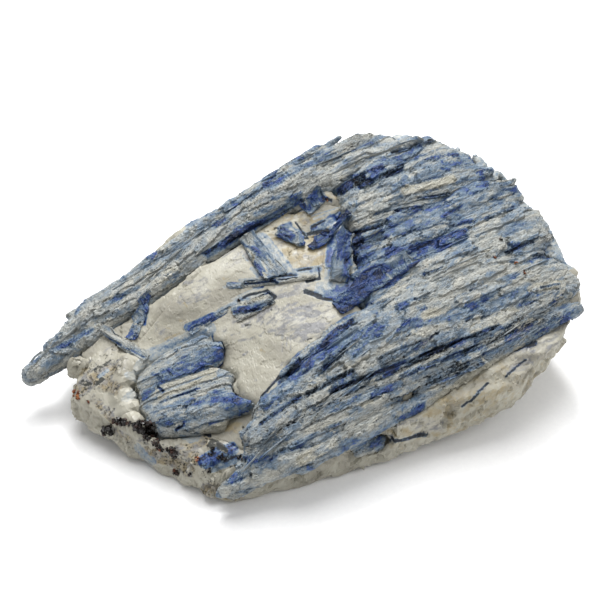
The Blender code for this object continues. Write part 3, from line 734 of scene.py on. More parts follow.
BLOCK_CRYSTALS = (
    (132, 368, 210, 334, 16, "pale", 0.4), (150, 356, 208, 330, 8, "mid", 0.6),
    (128, 380, 176, 362, 12, "pale", 0.3), (166, 378, 222, 350, 15, "deep", 0.9),
    (176, 368, 218, 346, 8, "blue", 1.1), (136, 398, 222, 372, 12, "pale", 0.5),
    (138, 396, 160, 386, 8, "deep", 1.0), (150, 392, 216, 370, 5, "cream", 0.8),
    (156, 404, 232, 380, 7, "silver", 0.6), (136, 414, 190, 400, 10, "mid", 0.3),
    (170, 420, 244, 404, 14, "blue", 0.8), (190, 410, 240, 396, 9, "deep", 1.0),
    (160, 425, 184, 417, 5, "dark", 0.8), (176, 428, 236, 412, 6, "pale", 0.6),
    (150, 430, 200, 442, 12, "pale", -0.1),
)
# Marks on the block at the left.
BLOCK_MARKS = (
    (128, 356, 134, 420, 20, "straw"), (126, 356, 132, 420, 10, "cream"), (140, 352, 200, 332, 15, "pale"),
    (150, 355, 206, 336, 6, "mid"), (138, 372, 150, 368, 8, "straw"), (134, 402, 146, 416, 9, "straw"),
    (205, 433, 230, 425, 11, "cream"), (158, 435, 200, 439, 13, "olive"), (158, 430, 176, 426, 4, "grey"),
    (176, 430, 184, 424, 3, "black"), (152, 373, 158, 375, 4, "dark"), (168, 372, 172, 376, 3, "black"),
    (142, 396, 152, 390, 6, "deep"), (158, 387, 164, 392, 3, "black"), (163, 394, 168, 397, 2.4, "black"),
    (160, 398, 215, 376, 5, "cream"), (165, 405, 200, 394, 4, "straw"), (160, 403, 200, 389, 1.8, "black"),
    (172, 412, 215, 398, 1.8, "dark"), (175, 419, 184, 417, 6, "dark"), (205, 406, 238, 400, 9, "deep"),
    (215, 392, 232, 398, 5, "blue"),
)
# Marks at the left and front foot of the rock.
LOWER_MARKS = (
    (82, 388, 112, 372, 13, "mossy"), (90, 376, 110, 366, 5, "mossy"), (100, 405, 112, 420, 8, "mossy"),
    (114, 430, 128, 437, 6, "mossy"), (146, 453, 190, 470, 14, "mossy"), (182, 450, 206, 463, 12, "mossy"),
    (190, 432, 208, 440, 6, "mossy"), (206, 488, 240, 496, 12, "mossy"), (96, 371, 112, 362, 2.4, "sooty"),
    (98, 386, 104, 381, 4, "sooty"), (84, 383, 90, 386, 5, "sooty"), (100, 378, 108, 372, 4, "olive"),
    (138, 446, 152, 462, 8, "grey"), (160, 436, 200, 434, 11, "grey"), (180, 434, 196, 444, 8, "pale"),
    (168, 452, 206, 445, 7, "mossy"), (206, 462, 232, 450, 15, "dark"), (212, 470, 250, 456, 6, "mid"),
    (214, 443, 226, 452, 5, "sooty"), (224, 463, 236, 458, 2.4, "black"), (240, 458, 254, 455, 4, "black"),
    (198, 431, 210, 437, 4, "black"), (219, 494, 234, 484, 4, "deep"), (240, 490, 245, 486, 3, "black"),
    (226, 494, 262, 480, 5, "silver"),
)
# Marks on the blades that lie in the quartz, and on the quartz round them.
WINDOW_MARKS = (
    (322, 291, 350, 291, 16, "pale"), (335, 293, 392, 268, 22, "deep"), (352, 268, 385, 256, 9, "mid"),
    (385, 263, 410, 255, 15, "pale"), (384, 274, 400, 266, 13, "blue"), (350, 285, 385, 270, 15, "royal"),
    (380, 269, 393, 279, 1.6, "silver"), (340, 279, 352, 268, 2, "silver"),
    (352, 267, 361, 263, 2.2, "white"), (360, 297, 391, 288, 11, "dark"), (350, 300, 374, 303, 6, "dark"),
    (346, 300, 368, 309, 4, "dark"), (306, 293, 320, 298, 5, "black"), (318, 299, 345, 304, 3, "black"),
    (345, 304, 364, 309, 3, "black"), (341, 227, 340, 262, 22, "pale"), (345, 223, 345, 236, 14, "mid"),
    (341, 233, 338, 250, 19, "royal"), (331, 262, 331, 287, 10, "pale"), (347, 258, 343, 280, 8, "pale"),
    (339, 252, 339, 272, 5, "blue"), (333, 226, 327, 256, 2.2, "silver"), (353, 226, 353, 262, 3, "silver"),
    (328, 262, 326, 290, 4, "silver"), (346, 262, 341, 277, 2, "white"), (336, 277, 341, 284, 8, "olive"),
    (312, 217, 343, 207, 2, "olive"), (314, 220, 330, 214, 2.2, "silver"), (314, 229, 346, 214, 8, "dark"),
    (330, 219, 346, 212, 6, "deep"), (316, 233, 334, 222, 5, "mid"), (318, 226, 330, 220, 3, "pale"),
    (308, 235, 331, 231, 4, "black"), (312, 228, 325, 222, 2, "black"), (280, 230, 290, 226, 6, "dark"),
    (284, 230, 302, 236, 9, "dark"), (288, 228, 302, 238, 5, "mid"), (290, 229, 298, 235, 2, "silver"),
    (286, 236, 306, 240, 2.2, "black"), (296, 224, 308, 240, 2, "black"), (302, 206, 318, 194, 14, "mid"),
    (310, 196, 322, 192, 8, "blue"), (301, 204, 313, 210, 5, "deep"), (304, 199, 309, 206, 2.2, "silver"),
    (315, 190, 321, 192, 2.2, "black"), (324, 199, 331, 202, 3.5, "black"),
    (246, 235, 262, 246, 12, "silver"), (262, 242, 286, 272, 16, "mid"), (258, 250, 276, 276, 14, "mid"),
    (266, 246, 287, 270, 8, "pale"), (252, 270, 258, 276, 5, "pale"), (240, 243, 256, 250, 3.5, "deep"),
    (256, 250, 267, 263, 5, "blue"), (253, 261, 257, 268, 5, "dark"), (257, 265, 262, 275, 5.5, "deep"),
    (247, 248, 254, 256, 1.6, "white"), (254, 256, 251, 264, 2, "white"),
    (262, 261, 267, 270, 1.6, "white"), (267, 256, 272, 266, 1.6, "silver"),
    (263, 272, 270, 278, 2.2, "white"), (248, 232, 262, 244, 1.6, "grey"),
    (254, 230, 268, 244, 1.6, "grey"), (268, 240, 292, 273, 2, "silver"),
    (241, 256, 248, 263, 1.6, "white"), (224, 288, 245, 283, 3, "pale"), (240, 281, 262, 279, 3, "grey"),
    (262, 279, 300, 278, 4, "grey"), (245, 283, 275, 281, 2.6, "black"), (271, 280, 277, 283, 3.5, "black"),
    (268, 277, 292, 277, 2.5, "dark"), (280, 277, 297, 276, 2.6, "black"), (296, 273, 320, 270, 6, "mid"),
    (298, 272, 312, 270, 2, "black"), (302, 276, 318, 275, 2, "silver"), (307, 283, 319, 280, 3.5, "black"),
    (319, 270, 320, 280, 2.2, "black"), (232, 300, 262, 289, 2.2, "silver"),
    (238, 297, 256, 289, 1.6, "olive"), (254, 289, 264, 288, 2.5, "dark"),
    (239, 306, 268, 300, 13, "olive"), (240, 309, 268, 304, 5, "deep"), (252, 299, 264, 297, 4, "cream"),
    (240, 304, 246, 304, 3, "cream"), (256, 297, 262, 296, 2, "white"), (234, 303, 250, 296, 2.4, "black"),
    (250, 296, 268, 292, 2.6, "black"), (268, 292, 276, 298, 2.6, "black"),
    (276, 298, 270, 305, 3, "black"), (270, 305, 245, 311, 3.2, "black"), (245, 311, 234, 312, 3, "black"),
    (220, 312, 240, 300, 4.5, "pale"), (210, 319, 222, 311, 5.5, "mid"), (188, 328, 212, 317, 8, "royal"),
    (200, 328, 210, 322, 2, "white"), (196, 332, 210, 328, 3, "olive"), (156, 293, 148, 304, 5, "dark"),
    (147, 302, 145, 325, 5, "deep"), (151, 298, 148, 318, 2, "mid"), (100, 332, 148, 357, 5, "grey"),
    (100, 334, 146, 358, 2, "dark"), (106, 333, 150, 354, 1.6, "silver"), (266, 412, 290, 390, 24, "olive"),
    (252, 442, 270, 412, 18, "olive"), (284, 384, 304, 370, 12, "dark"), (304, 368, 324, 351, 12, "deep"),
    # The black strokes from (256, 424) to (350, 322) are painted shade in the crease where the near bundle's
    # edge meets the quartz.
    (322, 351, 354, 329, 10, "blue"), (256, 424, 262, 414, 2.4, "black"),
    (264, 408, 272, 404, 2.4, "black"), (262, 398, 280, 378, 2.4, "black"),
    (280, 378, 300, 363, 4, "black"), (300, 363, 318, 342, 3, "black"), (318, 342, 350, 322, 2, "black"),
    # The dark, black and sooty strokes from (212, 330) to (244, 446) are painted shade where the block's
    # right edge and the near bundle's left end stand over the quartz.
    (212, 330, 214, 343, 2, "dark"), (213, 343, 222, 343, 2.6, "black"), (222, 343, 225, 350, 2.6, "black"),
    (224, 350, 222, 360, 2.6, "black"), (217, 362, 222, 362, 2, "white"), (222, 370, 226, 378, 2, "dark"),
    (226, 390, 244, 402, 2, "dark"), (244, 428, 243, 446, 3, "sooty"), (205, 426, 222, 419, 2, "olive"),
    (152, 356, 210, 330, 14, "pale"), (160, 350, 208, 332, 4, "mid"), (128, 380, 146, 362, 9, "silver"),
    (126, 404, 136, 388, 8, "silver"), (341, 228, 338, 270, 20, "blue"), (332, 234, 329, 266, 6, "deep"),
    (350, 228, 346, 266, 5, "deep"),
)
# Patches on the quartz itself.
QUARTZ_PATCHES = (
    # The first two patches tint the lower right face greyer and yellower: partly a stain and partly painted
    # shade under the overhanging blades.
    (395, 432, 470, 395, 34, "stain_and_shade"), (470, 395, 560, 345, 40, "stain_and_shade"),
    (272, 320, 320, 318, 32, "clouded"), (282, 328, 320, 342, 22, "clouded"),
    (283, 257, 326, 250, 20, "honey"), (285, 208, 315, 222, 16, "honey"), (266, 226, 300, 214, 10, "honey"),
    (268, 246, 330, 240, 16, "honey"), (270, 262, 330, 268, 14, "honey"),
    (316, 247, 328, 236, 7, "stained"), (296, 246, 318, 240, 3, "stained"),
    (306, 240, 328, 235, 2.4, "crack"), (283, 263, 290, 256, 3.5, "crack"),
    (289, 255, 297, 250, 2.4, "crack"), (284, 258, 287, 264, 4, "stained"),
    (303, 253, 312, 250, 2, "crack"), (262, 236, 276, 237, 3, "stained"),
    (262, 238, 271, 238, 2.4, "crack"), (258, 228, 266, 234, 2, "crack"), (268, 233, 279, 228, 3, "crack"),
    (328, 197, 336, 200, 4, "honey"), (275, 291, 305, 289, 12, "clear"), (276, 299, 304, 293, 5, "veined"),
    (184, 300, 206, 294, 14, "clear"), (186, 288, 204, 282, 10, "clear"), (160, 328, 176, 340, 12, "clear"),
    (166, 340, 180, 334, 3, "stained"), (170, 342, 177, 336, 1.8, "crack"),
    (228, 264, 238, 256, 14, "clear"), (214, 263, 214.4, 263, 2.6, "sooty"),
    (180, 283, 184, 281, 2, "stained"), (224, 280, 230, 280, 2.6, "stained"),
    (185, 304, 188, 308, 2, "stained"), (180, 321, 184, 321, 2.6, "stained"),
    (166, 328, 170, 329, 2, "stained"), (245, 255, 250, 262, 8, "veined"), (234, 256, 240, 266, 6, "clear"),
    (236, 322, 262, 318, 9, "veined"), (225, 330, 256, 326, 7, "clear"), (244, 328, 256, 324, 4, "veined"),
    (246, 327, 252, 326, 2, "sooty"), (232, 336, 240, 334, 3.5, "veined"),
    (240, 342, 256, 339, 4, "veined"), (256, 334, 263, 338, 2.4, "veined"),
    (288, 307, 298, 305, 2.6, "veined"), (290, 312, 300, 316, 3.5, "inked"),
    (300, 309, 318, 308, 2.2, "veined"), (302, 315, 312, 318, 3.5, "inked"),
    (306, 310, 319, 314, 3.5, "inked"), (296, 311, 306, 309, 2.2, "inked"),
    (284, 318, 302, 323, 3, "veined"), (304, 328, 321, 328, 6, "inked"), (306, 334, 318, 333, 4, "inked"),
    (300, 336, 307, 340, 3.5, "inked"), (308, 341, 312, 340, 2.2, "sooty"),
    (284, 326, 283, 352, 2.6, "veined"), (288, 330, 287, 350, 1.8, "veined"),
    (291, 332, 291, 352, 2, "veined"), (296, 333, 297, 341, 3, "veined"),
    (262, 351, 266, 353, 2, "stained"), (244, 356, 249, 353, 2.6, "veined"),
    (256, 310, 258, 313, 2, "sooty"), (272, 311, 272.4, 312, 2, "sooty"),
    (273, 332, 276, 333, 2.2, "veined"), (238, 396, 258, 402, 10, "clear"),
    (244, 383, 256, 381, 4, "clear"), (282, 365, 290, 362, 5, "clear"), (212, 430, 228, 420, 2, "crack"),
    (228, 420, 246, 416, 2, "stained"), (216, 424, 240, 430, 12, "honey"),
    (82, 392, 118, 368, 16, "peppered"), (88, 368, 112, 352, 10, "peppered"),
    (95, 400, 112, 412, 10, "peppered"), (108, 435, 135, 446, 12, "peppered"),
    (140, 445, 205, 462, 14, "peppered"), (215, 447, 232, 462, 14, "sooty"),
    (205, 470, 228, 490, 12, "peppered"), (400, 425, 470, 420, 30, "amber"),
    # The first patch here does the same on the lower right face: partly a stain and partly painted shade.
    (470, 410, 540, 360, 36, "stain_and_shade"), (440, 405, 500, 395, 14, "amber"),
    (520, 360, 560, 330, 26, "clear"), (400, 420, 440, 425, 12, "clear"), (395, 408, 412, 400, 6, "crack"),
    (402, 396, 460, 388, 4, "crack"), (463, 408, 487, 385, 2.6, "black"),
    (505, 378, 525, 360, 2.6, "black"), (508, 355, 535, 345, 4, "black"), (390, 440, 427, 434, 4, "black"),
    (86, 374, 116, 392, 13, "mossy"), (190, 228, 236, 202, 9, "mid"),
)

ACROSS_PIXEL = 0.31  # millimetres of a blade's width that one pixel shows, on the slanting upper side
THROUGH = 7.0  # how far under or over the skin a stroke still colours, mm
THROUGH_FADE = 2.0  # over the last of that, mm, it fades
SOFT_EDGE = (1.0, 0.3)  # a stroke's edge fades over this many pixels plus this share of half its width

Stroke = namedtuple("Stroke", "start end reach first last half tint strength lift")


def placed(strokes, tones, strength):
    """Strokes of the photograph laid on the skin, with half their widths in pixels and in mm."""
    rows = []
    for x, y, end_x, end_y, width, tone, *lift in strokes:
        first, last = skin.through_photo(x, y), skin.through_photo(end_x, end_y)
        if first is not None and last is not None:
            half = width * ACROSS_PIXEL / 2
            height = lift[0] if lift else None
            tint = np.array(tones[tone])
            rows.append(Stroke((x, y), (end_x, end_y), width / 2, first, last, half, tint, strength, height))
    return rows


def painted(points, tints, strokes):
    """The tints of points, mm, with every stroke that reaches them laid over in turn."""
    tints = np.array(tints, float)
    pixels, depths = photo_rows(points)
    for stroke in strokes:
        first, line = np.array(stroke.start, float), np.subtract(stroke.end, stroke.start)
        soft = SOFT_EDGE[0] + SOFT_EDGE[1] * stroke.reach
        margin = stroke.reach + soft
        low = np.minimum(stroke.start, stroke.end) - margin
        high = np.maximum(stroke.start, stroke.end) + margin
        near = np.flatnonzero(((pixels > low) & (pixels < high)).all(axis=1))
        if not len(near):
            continue
        offset = pixels[near] - first
        share = np.clip(offset @ line / max(line @ line, 1e-6), 0.0, 1.0)
        distance = np.linalg.norm(offset - share[:, None] * line, axis=1)
        ends = photo_rows(np.array((stroke.first, stroke.last)))[1]
        behind = np.abs(depths[near] - (ends[0] + share * (ends[1] - ends[0])))
        cover = stroke.strength * np.clip((stroke.reach + 0.5 * soft - distance) / soft, 0.0, 1.0)
        cover *= np.clip((THROUGH - behind) / THROUGH_FADE, 0.0, 1.0)
        tints[near] = tints[near] * (1.0 - cover[:, None]) + stroke.tint * cover[:, None]
    return tints


CRYSTALS = FAR_CRYSTALS + MASS_CRYSTALS + NEAR_CRYSTALS + FRONT_CRYSTALS + BLOCK_CRYSTALS
# The numbers are the share of what lies under it that each kind of stroke covers.
KYANITE_PAINT = (
    placed(KYANITE_PATCHES, TONES, 0.75)
    + placed(CRYSTALS + BLOCK_MARKS, TONES, 0.85)
    + placed(KYANITE_VEILS, TONES, 0.45)
    + placed(KYANITE_STREAKS, TONES, 0.8)
)
SINGLE_PAINT = placed(WINDOW_MARKS, TONES, 0.9)
QUARTZ_PAINT = placed(QUARTZ_PATCHES, QUARTZ_TONES, 0.9)
QUARTZ_PAINT += placed(LOWER_MARKS + WINDOW_MARKS, QUARTZ_TONES, 0.95)

# ---------------------------------------------------------------- facets

EDGE_WIDTH = 0.9  # how wide the edge of a facet shows, mm
RAGGED = 0.12  # how far a facet's edge wanders, mm
SCATTER = 0.2  # how far a facet's middle is moved off the surface, as a share of its size

Facets = namedtuple("Facets", "heights owner edge side chance")


def grain_of(along, up=(0.0, 0.0, 1.0)):
    """The along, across and up directions of crystals that run one way."""
    along = Vector(along).normalized()
    across = Vector(up).cross(along).normalized()
    return np.array((along, across, along.cross(across)))


ALONG_X = grain_of((1.0, 0.0, 0.0))


def cleaved(places, dice, grain, size, slope, step, cell_area):
    """A surface split in flat facets that are long along the grain.

    grain holds the along, across and up directions, size the facet's length and width, mm, slope how far
    facets tilt, step how far they stand apart, mm, and cell_area the surface that one point stands for, mm2.
    It gives each point's height, mm, its facet, how near it lies to the facet's edge, from 0 to 1, whether
    that edge stands over its neighbour (1) or under it (-1), and the generator of chance that was used.
    """
    local = places @ grain.T / np.array((size[0], size[1], size[1]))
    count = max(4, int(len(places) * cell_area / (size[0] * size[1])))
    chance = np.random.default_rng(dice.randrange(1 << 30))
    middles = local[chance.integers(0, len(places), count)]
    middles = middles + SCATTER * chance.standard_normal((count, 3))
    tree = KDTree(count)
    for index, middle in enumerate(middles):
        tree.insert(middle, index)
    tree.balance()
    ragged = local + RAGGED / size[1] * chance.standard_normal(local.shape)
    pairs = [tree.find_n(point, 2) for point in ragged]
    owner = np.array([pair[0][1] for pair in pairs])
    other = np.array([pair[1][1] for pair in pairs])
    gap = np.array([pair[1][2] - pair[0][2] for pair in pairs])
    edge = np.clip(1.0 - gap * size[1] / EDGE_WIDTH, 0.0, 1.0)
    tilts = chance.normal(0.0, slope, (count, 3)) * size[1]
    lifts = chance.normal(0.0, step, count)
    heights = ((local - middles[owner]) * tilts[owner]).sum(axis=1) + lifts[owner]
    return Facets(heights, owner, edge, np.sign(lifts[owner] - lifts[other]), chance)


# ---------------------------------------------------------------- kyanite

KYANITE = kyanite_material()

# How the crystals fan out over the rock.
FAN_SLOPE = 0.044  # how far they run along y for each mm along x, at x = 0
FAN_FALL = 0.0026  # how much that falls for each mm along x
FAN_SIDE_FALL = 0.0017  # how much it falls for each mm along y, where x is FAN_REACH
FAN_REACH = 25.0

# The plates that kyanite splits in, from the largest: their length and width, mm, how far they tilt, and how
# far they stand apart, mm. The single blades have their own.
PLATES = ((11.0, 3.2, 0.05, 0.05), (4.2, 1.5, 0.10, 0.06), (1.9, 0.7, 0.16, 0.03))
THIN_PLATES = ((9.0, 1.8, 0.06, 0.12), (3.0, 0.7, 0.10, 0.05))
PLATE_LAP = 0.02  # how far an edge that lies under its neighbour sinks, as a share of the plate's width
FULL_STEP = 0.1  # plates that stand this far apart, mm, show their edges fully
EDGE_TINT = 0.14  # how much paler the upper edge of a plate is, and how much darker the lower one, which lies under its neighbour: painted shade
TINT_SPREAD = (0.11, 0.08, 0.04)  # how much the tints of neighbouring plates differ, for each size of plate
TINT_SHARES = (1.4, 1.0, 0.8)  # how that is shared out over blue, cream and dark
HOLLOW = 1.2  # how far a place sinks for each unit of darkness beyond HOLLOW_FROM, mm
HOLLOW_FROM = 0.45

CREASE = 0.5  # how wide the gap beside a crystal is, mm
CREASE_DEPTH = 0.10
# How much painted shade darkens the gap beside a crystal.
CREASE_SHADE = 0.18
LIFT_SHARE = 0.35  # the share of a crystal's lift that its own plate stands over the rest
CRYSTAL_TILT = 0.07  # how far the plates of crystals lean across, for each mm of their width
CRYSTAL_SLOPE = 0.02  # how far they lean along, for each mm of their length
CRYSTAL_OVERLAP = 0.06  # how much further than its stroke a crystal runs, as a share of its length
CRYSTAL_DEPTH = 3.5  # how far over and under its stroke a crystal reaches, mm
CRYSTAL_ROOM = 2.0  # how far beyond a crystal's sides points are looked at, mm
CRYSTAL_TAPER = (0.35, 1.2)  # how much narrower its ends are, and over how much of half its width
CRYSTAL_WAVE = (0.12, 0.9)  # how much its width wavers, and how fast along it
# The waves of its ragged ends: how deep each is, mm, how fast it runs across, and how it is shifted.
END_WAVES = ((0.5, 3.1, 1.0), (0.3, 7.3, 2.0))


def fanned(places):
    """Places, mm, sheared so that crystals that fan out over the rock run along x."""
    x, y = places[:, 0], places[:, 1]
    side = FAN_SIDE_FALL * y * np.maximum(x, 0.0) ** 2 / (2 * FAN_REACH)
    straight = places.copy()
    straight[:, 1] = y - FAN_SLOPE * x + FAN_FALL / 2 * x * x + side
    return straight


def slope_at(place):
    """How far a crystal that passes a place, mm, runs along y for each mm along x."""
    right = max(place.x, 0.0)
    bend = FAN_SIDE_FALL * right / FAN_REACH
    return (FAN_SLOPE - FAN_FALL * place.x - bend * place.y) / (1.0 + bend * right / 2.0)


def crystals_in(places, heights, tints, streaks, dice, strokes):
    """Shapes the crystals that can be told apart: each is a plate of its own, with a crease round it that is
    darkened with painted shade.
    """
    for stroke in strokes:
        if stroke.lift is None:
            continue
        line = stroke.last - stroke.first
        length, along = line.length, line.normalized()
        up = skin.facing_near((stroke.first + stroke.last) / 2)
        aside = up.cross(along).normalized()
        tilt, slope = dice.gauss(0.0, CRYSTAL_TILT), dice.gauss(0.0, CRYSTAL_SLOPE)
        phase = dice.uniform(0, 6)
        room = stroke.half + CRYSTAL_ROOM
        low, high = np.minimum(stroke.first, stroke.last) - room, np.maximum(stroke.first, stroke.last) + room
        near = np.flatnonzero(((places > low) & (places < high)).all(axis=1))
        offset = places[near] - np.array(stroke.first)
        ahead, side, over = offset @ np.array(along), offset @ np.array(aside), offset @ np.array(up)

        # How far inside the crystal's outline a point lies: its ends are ragged, and it narrows towards them.
        ragged = sum(depth * np.sin(side * pace + shift * phase) for depth, pace, shift in END_WAVES)
        ends = np.minimum(ahead + CRYSTAL_OVERLAP * length, (1.0 + CRYSTAL_OVERLAP) * length - ahead) + ragged
        taper = np.clip(1.0 - ends / (CRYSTAL_TAPER[1] * stroke.half), 0.0, 1.0)
        wide = stroke.half * (1.0 - CRYSTAL_TAPER[0] * taper**2)
        wide *= 1.0 + CRYSTAL_WAVE[0] * np.sin(ahead * CRYSTAL_WAVE[1] + phase)
        margin = np.minimum(np.minimum(wide - np.abs(side), ends), CRYSTAL_DEPTH - np.abs(over))

        inside = margin > 0.0
        here = near[inside]
        heights[here] = LIFT_SHARE * stroke.lift + tilt * side[inside] + slope * (ahead[inside] - length / 2)
        streaks[here] = np.stack([ahead[inside], side[inside], np.full(len(here), 10 * phase)], axis=1)
        tints[here, 1] += EDGE_TINT * np.clip(1.0 - margin[inside] / CREASE, 0.0, 1.0)
        # The crease beside it sinks and is darkened with painted shade.
        beside = (margin <= 0.0) & (margin > -CREASE)
        gap = 1.0 + margin[beside] / CREASE
        heights[near[beside]] -= CREASE_DEPTH * gap
        tints[near[beside], 2] += CREASE_SHADE * gap


def bladed(mesh, dice, tint, voxel, grain, plates, strokes, swell):
    """Splits an even mesh in the lapped plates of kyanite, and lifts it by a swell, mm."""
    places, facings = vertex_rows(mesh)
    straight = fanned(places) if grain is ALONG_X else places
    tints = np.tile(np.array(tint, float), (len(places), 1))
    streaks = straight @ grain.T
    streaks[:, 1] += streaks[:, 2]
    heights = np.zeros(len(places))
    for index, (length, width, slope, step) in enumerate(plates):
        facets = cleaved(straight, dice, grain, (length, width), slope, step, voxel * voxel)
        over, under = facets.edge * (facets.side > 0), facets.edge * (facets.side < 0)
        heights += facets.heights - PLATE_LAP * width * under
        spread = facets.chance.normal(0.0, TINT_SPREAD[index], (facets.owner.max() + 1, 3)) * TINT_SHARES
        tints += spread[facets.owner]
        share = EDGE_TINT * min(1.0, step / FULL_STEP)
        tints[:, 1] += share * over
        # Painted shade on the edge that lies under its neighbour.
        tints[:, 2] += share * under
        if index == 0:
            streaks[:, 2] = facets.chance.uniform(0, 500, facets.owner.max() + 1)[facets.owner]
            tints = painted(places, tints, strokes)
            crystals_in(places, heights, tints, streaks, dice, strokes)
            heights -= HOLLOW * np.clip(tints[:, 2] - HOLLOW_FROM, 0.0, 0.5)
    set_places(mesh, places + facings * (heights + swell)[:, None])
    dress(mesh, KYANITE, tints, streaks)


BED_VOXEL = 0.45
BED_SMOOTHING = 10
BED_TINT = (0.45, 0.10, 0.09)
BED_SWELL = 0.5  # how far the levelled bed is lifted again, mm
BED_PARTING = 2.0  # the y at which the bed is parted in two pieces, mm
# The edge of the near bundle along the windows, in the photograph, and how far it is moved over them, mm.
WINDOW_EDGE = ((250, 440), (262, 415), (285, 388), (315, 358), (348, 330))
EDGE_MOVE = 3.0
EDGE_REACH = 11.0


def parted(mesh, name, y, beyond):
    """The half of a mesh that lies beyond a y, mm, or short of it, as a mesh of its own."""
    half = mesh.copy()
    half.name = name
    with building(half) as builder:
        builder.from_mesh(mesh)
        others = [face for face in builder.faces if (face.calc_center_median().y > y * MM) != beyond]
        bmesh.ops.delete(builder, geom=others, context="FACES")
    return half


def build_bed(dice):
    """The intergrown crystals. The near bundle's edge reaches over the windows, as in the photograph."""
    mesh = calmed("kyanite_bed", ["kyanite_blades"], BED_VOXEL, BED_SMOOTHING)
    places, _ = vertex_rows(mesh)
    edge = [skin.through_photo(*corner) for corner in WINDOW_EDGE]
    places[:, 1] += EDGE_MOVE * nearness(places, edge, EDGE_REACH)
    set_places(mesh, places)
    mesh.update()
    bladed(mesh, dice, BED_TINT, BED_VOXEL, ALONG_X, PLATES, KYANITE_PAINT, BED_SWELL)
    for name, beyond in (("far_bed", True), ("near_bed", False)):
        finished(name, parted(mesh, name, BED_PARTING, beyond), "kyanite", "kyanite_blades")


BLOCK_VOXEL = 0.3
BLOCK_SMOOTHING = 14
BLOCK_TINT = (0.48, 0.08, 0.09)
BLOCK_GRAIN = grain_of((0.94, -0.34, 0.1))
BLOCK_SWELL = 0.2
BLOCK_FREE = 164  # the x pixel of the photograph left of which the block sinks in the rock
BLOCK_SLOPE = 36.0  # how many pixels further left it has sunk fully
BLOCK_SINK = 2.2  # how deep its left end sinks, mm


def build_block(dice):
    """The block of blades at the left, whose left end sinks in the rock."""
    mesh = calmed("block_bed", ["left_blade_block"], BLOCK_VOXEL, BLOCK_SMOOTHING)
    pixels, _ = photo_rows(vertex_rows(mesh)[0])
    swell = BLOCK_SWELL - BLOCK_SINK * np.clip((BLOCK_FREE - pixels[:, 0]) / BLOCK_SLOPE, 0.0, 1.0)
    bladed(mesh, dice, BLOCK_TINT, BLOCK_VOXEL, BLOCK_GRAIN, PLATES[1:], KYANITE_PAINT, swell)
    finished("block_bed", mesh, "kyanite", "left_blade_block")


# The single blades: the CAD node, where the blade starts and ends in the photograph, and its tone.
SINGLE_BLADES = (
    ("deep_blue_blade", (330, 294), (405, 258), "royal"),
    ("crossing_blade", (337, 276), (344, 224), "blue"),
    ("embedded_blade_end", (236, 306), (274, 293), "olive"),
    ("blue_sliver_blade", (188, 330), (236, 304), "mid"),
    ("dark_wedge_blade", (130, 332), (156, 294), "blue"),
    ("left_cross_blade", (104, 336), (146, 358), "silver"),
    ("pale_fan_blade", (245, 240), (282, 278), "pale"),
    ("pocket_blade", (312, 232), (345, 214), "deep"),
    ("small_wedge_blade", (278, 230), (306, 240), "mid"),
    ("thin_edge_blade", (228, 286), (318, 274), "grey"),
    ("upper_chip_blade", (299, 208), (318, 195), "blue"),
)
SINGLE_VOXEL = 0.3
SINGLE_SMOOTHING = 16
SINGLE_SWELL = -0.2
SUNK = 0.4  # the share of its height that a single blade keeps over the rock round it
ROCK = ["quartz_matrix", "kyanite_blades"]
ROCK_VOXEL = 0.8


def build_single_blades():
    """The blades that lie apart: each splits along its length, and is sunk in the rock that it lies on."""
    dice = random.Random(SEED + 2)
    bedrock = tree_of(remeshed("bedrock", ROCK, ROCK_VOXEL))
    for node, start, end, tone in SINGLE_BLADES:
        name = node + "_crystal"
        mesh = remeshed(name, [node], SINGLE_VOXEL, SINGLE_SMOOTHING)
        places, _ = vertex_rows(mesh)
        ground = np.array([bedrock.find_nearest(Vector(place) * MM)[0] / MM for place in places])
        places[:] = ground + (places - ground) * SUNK
        set_places(mesh, places)
        grain = grain_of(skin.through_photo(*end) - skin.through_photo(*start))
        bladed(mesh, dice, TONES[tone], SINGLE_VOXEL, grain, THIN_PLATES, SINGLE_PAINT, SINGLE_SWELL)
        finished(name, mesh, "kyanite" if tone == "pale" else "deep_kyanite", node)


# ---------------------------------------------------------------- loose fibres

FIBRES = 420
FIBRE_FIELD = (-70, 68, -46, 42)  # they lie between these x and between these y, mm
FIBRE_LENGTHS = (4.0, 14.0)
FIBRE_WIDTHS = (0.18, 0.55)
FIBRE_THICKNESSES = (0.5, 1.0)
FIBRE_LIFTS = (0.0, 0.5)  # how far a fibre stands over the skin, mm
FIBRE_LEAN = 0.2  # how much higher or lower its far end stands, mm
FIBRE_POINTS = (0.1, 0.5)  # the share of its width that a fibre keeps at its ends
FIBRE_SLANTS = (-2, 2)  # how far its ends are cut aslant, for each mm of its width
FULL_WIDTH = (0.0, 0.12, 0.85, 1.0)  # where a fibre starts, is wide, narrows and ends: shares of its length
FULL_HEIGHT = (0.0, 0.16, 0.84, 1.0)  # the same for where it lies at its full height
FIBRE_TURN = 0.04  # how far fibres turn off the run of the crystals round them, for each mm of their length
FIBRE_TINT = (0.4, 0.2, 0.25)
FIBRE_BLUES = 0.2  # how much that differs from fibre to fibre
FIBRE_CREAMS = (-0.3, 0.3)
FIBRE_DARKS = (-0.3, 0.2)
FIBRE_STEP = 2.0  # how far apart the rings of a fibre are, mm
FIBRE_WOBBLE = 0.05  # how far its rings are off their line, mm
FIBRE_SWELL = 0.05  # how much their widths differ, as a share
FIBRE_RELIEF = 0.03  # how far their corners are off their places, mm
END_DIP = 0.5  # how far the ends of a fibre sink into the mass, mm
# Cross-sections of a fibre, as shares of its width and thickness.
THIN_SECTIONS = (
    ((-0.5, -1.0), (-0.45, -0.1), (0.1, 0.15), (0.5, -0.2), (0.42, -1.0)),
    ((-0.42, -1.0), (-0.5, -0.25), (-0.1, 0.12), (0.45, -0.05), (0.5, -1.0)),
)


